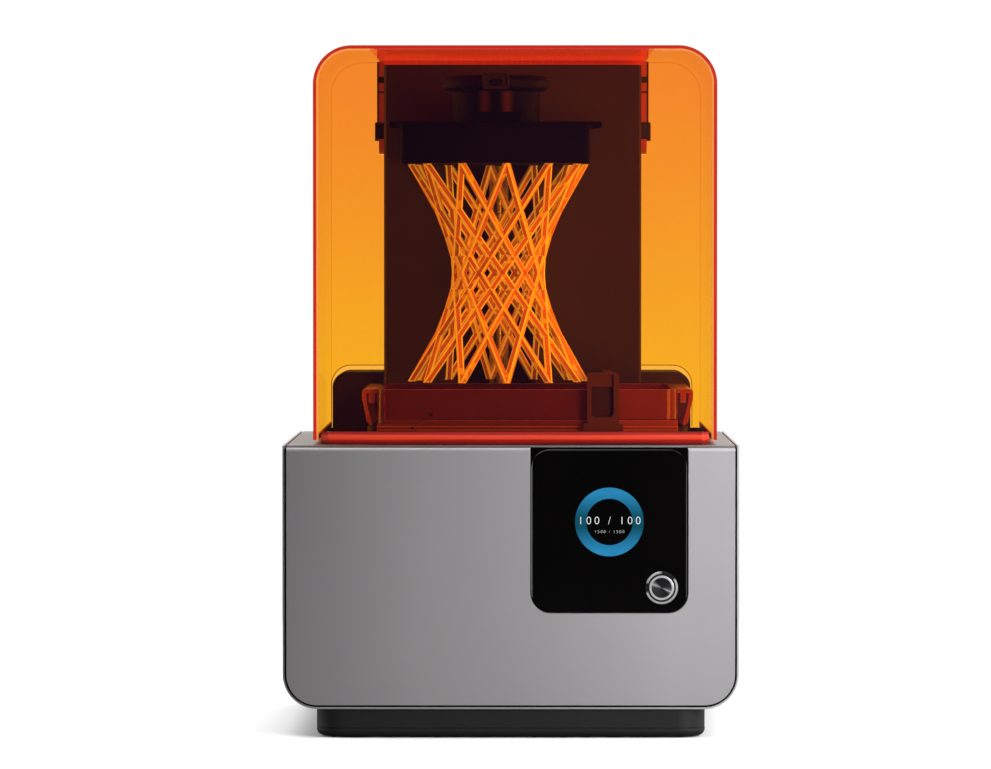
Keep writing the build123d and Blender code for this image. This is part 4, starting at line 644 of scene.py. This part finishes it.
faint_amber = see_through("faint_amber", (0.95, 0.84, 0.62, 1), (0.93, 0.80, 0.58, 1), 0.22, 0.52,
                          (0.5, 0.2, 0.05, 1), 0.03)

finishes = {
    "silver": silver, "black_paint": black_paint, "black_plastic": black_plastic,
    "platform_black": platform_black, "display_black": display_black, "orange_acrylic": cover_orange,
    "tank_orange": tank_orange, "print_resin": print_body, "steel": steel, "brass": brass, "rubber": rubber,
    "clear_glass": clear_glass, "mirror": mirror, "circuit": circuit, "cast_metal": cast_metal,
}
own_finish = {
    "cover_wrap": wrap_orange, "cover_lip": lip_orange, "hinge_arms": arm_orange, "plinth": plinth_black,
    "outer_shell": shell_silver, "tower_front": tower_face, "tower_shell": tower_black,
    "rear_wings": tower_black, "front_bulkhead": seam_black, "display_bezel": display_black,
    "front_panel": front_silver, "top_deck": deck_silver, "button_ring": ring_metal,
    "power_button": button_metal, "wiper_frame": wiper_plastic, "display_glass": screen_glass,
    "platform_arm": neck_black, "cartridge_body": cartridge_amber,
}
for part in frame["record"]["subparts"]:
    name = part["node"]
    slots = nodes[name].data.materials
    slots.clear()
    slots.append(own_finish.get(name, finishes[part["material_slot"]]))


# ---- building pieces ----
def piece(name, mesh, body, materials, smooth=False):
    """Makes an object of a bmesh, with its finish, and lets it ride on a body."""
    data = bpy.data.meshes.new(name)
    bmesh.ops.recalc_face_normals(mesh, faces=mesh.faces)
    mesh.to_mesh(data)
    mesh.free()
    for material in materials:
        data.materials.append(material)
    for polygon in data.polygons:
        polygon.use_smooth = smooth
    made = bpy.data.objects.new(name, data)
    bpy.context.scene.collection.objects.link(made)
    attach(made, body)
    return made


def loft(mesh, rings, caps=True, indices=None):
    """Joins closed rings of points with faces; indices give each side of a ring its material."""
    made = [[mesh.verts.new(p) for p in ring] for ring in rings]
    count = len(rings[0])
    for low, high in zip(made, made[1:]):
        for n in range(count):
            m = (n + 1) % count
            face = mesh.faces.new((low[n], low[m], high[m], high[n]))
            if indices:
                face.material_index = indices[n]
    if caps:
        mesh.faces.new(list(reversed(made[0])))
        mesh.faces.new(made[-1])


def box(mesh, x, y, z, bevel=0.0):
    """A box between pairs of limits, with its edges bevelled."""
    corners = [mesh.verts.new((px, py, pz)) for px in x for py in y for pz in z]
    faces = [(0, 1, 3, 2), (4, 6, 7, 5), (0, 4, 5, 1), (2, 3, 7, 6), (0, 2, 6, 4), (1, 5, 7, 3)]
    made = [mesh.faces.new([corners[n] for n in face]) for face in faces]
    if bevel:
        edges = list(dict.fromkeys(edge for face in made for edge in face.edges))
        bmesh.ops.bevel(mesh, geom=edges, offset=bevel, segments=2, affect="EDGES", profile=0.5)


def ribbon(mesh, path, width, y0, y1):
    """A flat strip along a path in X and Z, between two depths."""
    rings = []
    for n, (x, z) in enumerate(path):
        before = Vector(path[max(n - 1, 0)])
        after = Vector(path[min(n + 1, len(path) - 1)])
        along = (after - before).normalized()
        u, v = -along.y * width / 2, along.x * width / 2
        rings.append([(x - u, y0, z - v), (x + u, y0, z + v), (x + u, y1, z + v), (x - u, y1, z - v)])
    loft(mesh, rings)


def arc(x, z, radius, first, last, steps=10):
    """Points on an arc about a centre, between two angles in degrees."""
    turns = [math.radians(first + (last - first) * n / steps) for n in range(steps + 1)]
    return [(x + radius * math.cos(t), z + radius * math.sin(t)) for t in turns]


def circle(x, y, radius, count):
    """Evenly spaced points of a circle about a centre."""
    turns = [2 * math.pi * n / count for n in range(count)]
    return [(x + radius * math.cos(t), y + radius * math.sin(t)) for t in turns]


def span(a, b):
    """Two limits, the lower one first."""
    return min(a, b), max(a, b)


# ---- printed lattice ----
PRINT_X, PRINT_Y = -0.010, -0.028
PRINT_R = 0.067
PRINT_Z0, PRINT_Z1 = 0.2652, 0.4332
BARS_EACH_WAY, BAR_FIRST, BAR_TWIST = 12, 5.7, 120
BAR_HALF = 0.0025
BAR_BEVEL = 0.0011


def rim_point(turn, z):
    """Point on the print's rim, at an angle from its front."""
    return Vector((PRINT_X + PRINT_R * math.sin(turn), PRINT_Y - PRINT_R * math.cos(turn), z))


def make_lattice():
    """Crossing straight bars with bevelled long edges, cut flat at both ends."""
    mesh = bmesh.new()
    flat = BAR_HALF - BAR_BEVEL
    section = [(-flat, -BAR_HALF), (flat, -BAR_HALF), (BAR_HALF, -flat), (BAR_HALF, flat),
               (flat, BAR_HALF), (-flat, BAR_HALF), (-BAR_HALF, flat), (-BAR_HALF, -flat)]
    for twist in (BAR_TWIST, -BAR_TWIST):
        for n in range(BARS_EACH_WAY):
            start = math.radians(BAR_FIRST + 360 / BARS_EACH_WAY * n)
            end = start + math.radians(twist)
            low = rim_point(start, PRINT_Z0)
            high = rim_point(end, PRINT_Z1)
            along = (high - low).normalized()
            middle = (low + high) / 2
            out = Vector((middle.x - PRINT_X, middle.y - PRINT_Y, 0)).normalized()
            across = along.cross(out).normalized()
            rings = []
            for z in (PRINT_Z0, PRINT_Z1):
                ring = []
                for u, v in section:
                    p = low + across * u + out * v
                    ring.append(p + along * ((z - p.z) / along.z))
                rings.append(ring)
            # The bevelled long edges take the resin with painted edge glow.
            loft(mesh, rings, indices=[0, 1] * 4)
    lattice = piece("print_lattice", mesh, "platform", (print_body, print_edge_glow))
    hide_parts("printed_lattice")
    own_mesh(lattice)


make_lattice()


# ---- lead screw ----
SCREW_X, SCREW_Y, SCREW_R = -0.010, 0.070, 0.0040
SCREW_Z0, SCREW_Z1 = 0.2165, 0.506
THREAD_PITCH, THREAD_DEPTH = 0.002, 0.00075


def thread_dip(phase):
    """How deep the thread lies below the crest, at a share of its pitch."""
    return THREAD_DEPTH * max(0.0, min(1.0, (abs(phase - 0.5) * 4 - 0.8)))


def make_screw():
    """Lead screw with its thread, and the coupling below it."""
    mesh = bmesh.new()
    around, per_turn = 24, 8
    steps = int((SCREW_Z1 - SCREW_Z0) / THREAD_PITCH * per_turn)
    rings = []
    for k in range(steps + 1):
        z = SCREW_Z0 + (SCREW_Z1 - SCREW_Z0) * k / steps
        ring = []
        for n in range(around):
            a = 2 * math.pi * n / around
            r = SCREW_R - thread_dip(((z / THREAD_PITCH) - n / around) % 1.0)
            ring.append((SCREW_X + r * math.cos(a), SCREW_Y + r * math.sin(a), z))
        rings.append(ring)
    loft(mesh, rings)
    screw = piece("lead_screw_thread", mesh, "lead_screw", (steel,), smooth=True)
    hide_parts("z_screw")
    mesh = bmesh.new()
    profile = [(0.0027, 0.1945), (0.0087, 0.1945), (0.0095, 0.1953), (0.0095, 0.2020), (0.0088, 0.2024),
               (0.0088, 0.2032), (0.0095, 0.2036), (0.0095, 0.2074), (0.0088, 0.2078), (0.0088, 0.2086),
               (0.0095, 0.2090), (0.0095, 0.2157), (0.0087, 0.2165), (0.0027, 0.2165)]
    rings = [[(x, y, z) for x, y in circle(SCREW_X, SCREW_Y, r, 32)] for r, z in profile + profile[:1]]
    loft(mesh, rings, caps=False)
    bmesh.ops.remove_doubles(mesh, verts=mesh.verts, dist=1e-6)
    piece("screw_coupling", mesh, "lead_screw", (steel,))


make_screw()


# ---- screen ----
SCREEN_X, SCREEN_Y, SCREEN_Z = 0.0741, -0.16465, 0.1629
PICTURE_DEPTH = 0.00004
DIGIT_SPACING = 1.45


def lit_pixels(g, colour):
    """Ends a graph as a lit picture behind smooth glass."""
    shader = g.add("BsdfPrincipled", {"Base Color": (0, 0, 0, 1), "Roughness": 0.1, "Emission Color": colour,
                                      "Emission Strength": 1.0, "Specular IOR Level": 0.2})
    g.finish(shader.outputs[0])


def digit_glow():
    """The screen's white digits, a little uneven like a real panel."""
    material, g = new_graph("screen_white")
    colour = (0.85, 0.88, 0.92)
    lit_pixels(g, g.blend(g.noise(0.02), tint(colour, 0.85), tint(colour, 1.15)))
    return material


def ring_glow():
    """The screen's ring, brighter at its top and foot than at its sides."""
    material, g = new_graph("screen_blue")
    v = g.math("SUBTRACT", g.axis("Z"), SCREEN_Z)
    lift = g.spread(g.math("ABSOLUTE", v), 0.004, 0.022, 0.0, 1.0)
    colour = g.blend(lift, (0.006, 0.085, 0.135, 1), (0.026, 0.262, 0.52, 1))
    lit_pixels(g, g.blend(g.spread(g.noise(0.01), 0.2, 0.8, 0.0, 0.15), colour, (0.0, 0.0, 0.0, 1)))
    return material


screen_blue = ring_glow()
screen_white = digit_glow()


def make_ring(name, outer, inner, material):
    """Flat ring on the screen."""
    mesh = bmesh.new()
    back = SCREEN_Y + PICTURE_DEPTH
    profile = [(outer, back), (outer, SCREEN_Y), (inner, SCREEN_Y), (inner, back)]
    rings = [[(x, y, z) for x, z in circle(SCREEN_X, SCREEN_Z, radius, 96)] for radius, y in profile]
    loft(mesh, rings + rings[:1], caps=False)
    bmesh.ops.remove_doubles(mesh, verts=mesh.verts, dist=1e-7)
    piece(name, mesh, "base", (material,))


def make_digits(name, text, size, z, thin):
    """Plain digits on the screen."""
    curve = bpy.data.curves.new(name, "FONT")
    curve.body = text
    curve.size = size
    curve.align_x = "CENTER"
    curve.align_y = "CENTER"
    curve.extrude = PICTURE_DEPTH / 2
    curve.space_character = DIGIT_SPACING
    curve.offset = thin
    digits = bpy.data.objects.new(name, curve)
    digits.location = (SCREEN_X, SCREEN_Y, z)
    digits.rotation_euler = (math.radians(90), 0, 0)
    bpy.context.scene.collection.objects.link(digits)
    bpy.context.view_layer.update()
    data = bpy.data.meshes.new_from_object(digits.evaluated_get(bpy.context.evaluated_depsgraph_get()))
    data.transform(digits.matrix_world)
    bpy.data.objects.remove(digits)
    mesh = bmesh.new()
    mesh.from_mesh(data)
    piece(name, mesh, "base", (screen_white,))


make_ring("screen_ring", 0.0258, 0.01745, screen_blue)
make_digits("screen_percent", "100 / 100", 0.0084, SCREEN_Z + 0.0008, -0.00012)
make_digits("screen_count", "1500 / 1500", 0.0032, SCREEN_Z - 0.0074, -0.00008)


# ---- small pieces ----
LINE_DEPTH = 0.0003


def cover_back_edges():
    """Cut edges of the cover's back, round the wings."""
    wing_x, wing_z, wing_r, foot_z = 0.130, 0.258, 0.0157, 0.2240
    mesh = bmesh.new()
    for side, tower_side in ((-1, -0.1018), (1, 0.1036)):
        path = [(side * (wing_x + wing_r), foot_z)]
        path += arc(side * wing_x, wing_z, wing_r, 0 if side > 0 else 180, 90)
        path += [(tower_side + side * 0.0010, wing_z + wing_r)]
        ribbon(mesh, path, 0.0007, BACK_Y - LINE_DEPTH, BACK_Y)
    piece("cover_back_edges", mesh, "cover", (dark_amber,))


def cover_back_outline():
    """Faint line of the arch where the cover's back meets its sides and roof."""
    foot_z, turn_z = 0.2300, ROOF_UNDER - INNER_R
    path = [(INNER_LEFT, foot_z)]
    path += arc(INNER_LEFT + INNER_R, turn_z, INNER_R, 180, 90)
    path += arc(INNER_RIGHT - INNER_R, turn_z, INNER_R, 90, 0)
    path += [(INNER_RIGHT, foot_z)]
    mesh = bmesh.new()
    ribbon(mesh, path, 0.0005, BACK_Y - LINE_DEPTH, BACK_Y)
    piece("cover_back_outline", mesh, "cover", (faint_amber,))


def cover_back_strips():
    """Narrow strips of the cover's back beside the tower, and a dark painted shade line along their edges by
    the tower.
    """
    strip_z = (0.2740, 0.4436)
    edges = ((-1, -0.1017), (1, 0.1035))
    mesh = bmesh.new()
    for side, edge in edges:
        box(mesh, span(edge, edge + side * 0.0050), (BACK_Y, BACK_Y + COVER_WALL), strip_z, 0.0003)
    piece("cover_back_strips", mesh, "cover", (wrap_orange,))
    # Painted shade: thin dark strips along the tower's sides.
    mesh = bmesh.new()
    for side, edge in edges:
        box(mesh, span(edge, edge + side * 0.0007), (BACK_Y - 0.0004, BACK_Y), strip_z, 0.0001)
    piece("cover_back_shades", mesh, "cover", (dark_red,))


def make_roof_rib():
    """Rib under the roof, along the front of its notch, red with painted glow and painted reflection lines.
    """
    notch_x, notch_y = (-0.1016, 0.1034), 0.0950
    mesh = bmesh.new()
    box(mesh, notch_x, (notch_y - 0.0030, notch_y), (COVER_TOP - 0.0070, ROOF_UNDER), 0.0003)
    piece("cover_roof_rib", mesh, "cover", (roof_red,))


def make_foot_beads():
    """Seal beads along the foot of the cover's side walls, with a glowing painted highlight line along their
    top edge.
    """
    thick = 0.0006
    for name, z, material in (("cover_foot_beads", (0.2238, 0.2276), dark_red),
                              ("cover_foot_lines", (0.2276, 0.2290), highlight_line)):
        mesh = bmesh.new()
        for x in ((INNER_LEFT, INNER_LEFT + thick), (INNER_RIGHT - thick, INNER_RIGHT)):
            box(mesh, x, (-0.1416, 0.1566), z, 0.0002)
        piece(name, mesh, "cover", (material,))


def make_sill():
    """Black seal strip on the deck, at the foot of the cover's back."""
    mesh = bmesh.new()
    across = (COVER_X - COVER_HALF, COVER_X + COVER_HALF)
    box(mesh, across, (0.1586, 0.1620), (0.2199, 0.2231), 0.0004)
    piece("deck_seal", mesh, "base", (rubber,))


def make_hinge_pads():
    """Black pads, dark side strips and bearing caps on the front edges of the hinge arms."""
    mesh = bmesh.new()
    face_y = 0.1200
    for side, inner, outer in ((-1, -0.1012, -0.1064), (1, 0.1030, 0.1082)):
        box(mesh, span(outer, inner), (face_y - 0.0008, face_y), (0.5005, 0.5055), 0.0003)
        box(mesh, span(outer, inner), (face_y - 0.0006, face_y), (0.4925, 0.4938), 0.0002)
        box(mesh, span(outer + side * 0.0030, inner), (face_y - 0.0040, face_y), (0.4555, 0.4690), 0.0010)
        box(mesh, span(outer, outer + side * 0.0014), (face_y - 0.0004, 0.1236), (0.4560, 0.5174), 0.0003)
    piece("hinge_pads", mesh, "cover", (black_paint,))


def triangle(mesh, x, z, tall, front, back):
    """Small triangle that stands on a level line and points up, or down where it's less than 0 tall."""
    half = 0.0016
    points = [(x - half, z), (x + half, z), (x, z + tall)]
    loft(mesh, [[(px, y, pz) for px, pz in points] for y in (front, back)])


def make_tank_marks():
    """Painted dark shadow line above the tank's skirt, and two plain triangles that mark its seat."""
    mesh = bmesh.new()
    wall_y, skirt_y = -0.1300, -0.1316
    left, bend, right = -0.1012, -0.0692, 0.1264
    low, high = 0.2351, 0.2386
    path = [(left, low), (bend, low), (bend + 0.0034, high), (right, high)]
    # Painted shadow: a dark line along the top of the skirt, stepping up at the bend.
    ribbon(mesh, path, 0.0006, wall_y - 0.0004, wall_y)
    triangle(mesh, -0.0604, 0.2432, -0.0026, wall_y - 0.0004, wall_y)
    triangle(mesh, -0.0744, 0.2312, 0.0026, skirt_y - 0.0002, skirt_y)
    piece("tank_marks", mesh, "peel", (dark_line,))


def make_wiper_web():
    """Dark web that closes the wiper's window, with a rounded foot."""
    mesh = bmesh.new()
    x0, x1, z0, z1, turn = 0.0612, 0.0775, 0.2409, 0.2722, 0.0030
    outline = arc(x0 + turn, z0 + turn, turn, 180, 270, 6) + arc(x1 - turn, z0 + turn, turn, 270, 360, 6)
    outline += [(x1, z1), (x0, z1)]
    loft(mesh, [[(x, y, z) for x, z in outline] for y in (-0.1346, -0.1326)])
    piece("wiper_web", mesh, "wiper", (wiper_dark,))


def make_lever():
    """Round-fronted lever with a rolled rim, its raised tab with a pocket, its tongue and its pin."""
    x, y, radius, cut = NECK_X, -0.0382, 0.04295, -0.0500
    z0, z1, turn = 0.4889, 0.5011, 0.0048
    pin_y, pin_z, pin_r, pin_half = -0.0460, 0.4952, 0.0025, 0.018
    mesh = bmesh.new()
    levels = [(z0 + turn * (1 - math.cos(t)), turn * (1 - math.sin(t)))
              for t in (math.radians(15 * n) for n in range(7))]
    levels += [(z0 + z1 - z, off) for z, off in reversed(levels)]
    notch = cut - 0.0080
    back = [(0.019, cut), (0.019, notch), (0.011, notch), (0.011, cut),
            (-0.011, cut), (-0.011, notch), (-0.019, notch), (-0.019, cut)]
    rings = []
    for z, off in levels:
        reach = radius - off
        half = math.degrees(math.acos((y - cut) / reach))
        outline = arc(x, y, reach, 270 - half, 270 + half, 48) + [(x + dx, py) for dx, py in back]
        rings.append([(px, py, z) for px, py in outline])
    loft(mesh, rings)
    pin = circle(pin_y, pin_z, pin_r, 12)
    loft(mesh, [[(px, py, pz) for py, pz in pin] for px in (x - pin_half, x + pin_half)])
    # The bevelled tongue comes last: faces made after a bevel would be listed in another order each run.
    box(mesh, (x - 0.0118, x + 0.0118), (cut - 0.001, pin_y), (0.4912, 0.4992), 0.0008)
    made = piece("lever_grip", mesh, "lever", (lever_black,))
    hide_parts("lock_lever")
    mesh = bmesh.new()
    front, back, half, wall, foot_z, top_z = -0.08235, -0.0700, 0.0102, 0.0015, 0.4899, 0.5010
    box(mesh, (x - half, x + half), (front, -0.0520), (0.5009, 0.5024), 0.0004)
    box(mesh, (x - half, x - half + wall), (front, back), (foot_z, top_z), 0.0004)
    box(mesh, (x + half - wall, x + half), (front, back), (foot_z, top_z), 0.0004)
    box(mesh, (x - half, x + half), (front, back), (foot_z, 0.4924), 0.0004)
    box(mesh, (x - 0.0090, x + 0.0090), (-0.0808, back), (0.4920, top_z), 0.0004)
    piece("lever_tab", mesh, "lever", (tab_black,))


cover_back_edges()
cover_back_outline()
cover_back_strips()
make_roof_rib()
make_foot_beads()
make_sill()
make_hinge_pads()
make_tank_marks()
make_wiper_web()
make_lever()


# ---- stage and light ----
FLOOR_RADIUS = 1.15


def make_floor():
    """Pale round floor, which throws less light back than it shows."""
    mesh = bmesh.new()
    bmesh.ops.create_circle(mesh, cap_ends=True, segments=96, radius=FLOOR_RADIUS)
    data = bpy.data.meshes.new("floor")
    mesh.to_mesh(data)
    mesh.free()
    material, g = new_graph("floor")
    seen = g.add("LightPath").outputs["Is Camera Ray"]
    pale = g.blend(g.noise(0.4), (0.93, 0.93, 0.93, 1), (0.95, 0.95, 0.95, 1))
    pale = g.blend(seen, (0.22, 0.22, 0.22, 1), pale)
    g.finish(g.add("BsdfPrincipled", {"Base Color": pale, "Roughness": 0.9,
                                      "Specular IOR Level": 0.0}).outputs[0])
    data.materials.append(material)
    floor = bpy.data.objects.new("floor", data)
    bpy.context.scene.collection.objects.link(floor)


def make_world():
    """White backdrop, and soft light that is weak from the front."""
    world = bpy.data.worlds.new("studio")
    bpy.context.scene.world = world
    world.use_nodes = True
    g = Graph(world.node_tree)
    place = g.add("SeparateXYZ", {0: g.add("TexCoord").outputs["Generated"]})
    front = g.spread(place.outputs["Y"], -0.7, -0.1, 0.02, 0.85)
    lift = g.spread(place.outputs["Z"], -0.2, 0.9, 0.9, 1.25)
    lean = g.spread(place.outputs["X"], -1.0, 1.0, 0.45, 1.35)
    strength = g.both(g.both(front, lift), lean)
    seen = g.add("LightPath").outputs["Is Camera Ray"]
    soft = g.add("Background", {"Color": (1, 1, 1, 1), "Strength": strength})
    backdrop = g.add("Background", {"Color": (1, 1, 1, 1), "Strength": 1.0})
    mixed = g.add("MixShader", {0: seen, 1: soft.outputs[0], 2: backdrop.outputs[0]})
    g.tree.links.new(mixed.outputs[0], g.add("OutputWorld").inputs[0])


def make_light(name, place, target, size, power):
    """White area light that points at a target."""
    data = bpy.data.lights.new(name, "AREA")
    data.shape = "RECTANGLE"
    data.size, data.size_y = size
    data.energy = power
    light = bpy.data.objects.new(name, data)
    light.location = place
    light.rotation_mode = "QUATERNION"
    light.rotation_quaternion = (Vector(target) - Vector(place)).to_track_quat("-Z", "Y")
    bpy.context.scene.collection.objects.link(light)


def make_sun(strength):
    """Very soft light from above, even over the whole floor."""
    data = bpy.data.lights.new("sky", "SUN")
    data.energy = strength
    data.angle = math.radians(70)
    sun = bpy.data.objects.new("sky", data)
    bpy.context.scene.collection.objects.link(sun)


make_floor()
make_world()
make_light("key_right", (0.60, -0.80, 0.35), (0.05, -0.165, 0.15), (0.35, 0.7), 10)
make_light("top", (0.0, 0.1, 1.9), (0, 0, 0.2), (1.6, 1.6), 7)
make_light("side_left", (-0.9, 0.16, 0.40), (-0.01, -0.03, 0.34), (0.5, 0.6), 4)
make_light("side_right", (0.9, 0.16, 0.40), (-0.01, -0.03, 0.34), (0.5, 0.6), 4)
make_sun(1.6)
bpy.context.scene.view_settings.view_transform = "Standard"
bpy.context.scene.view_settings.look = "None"
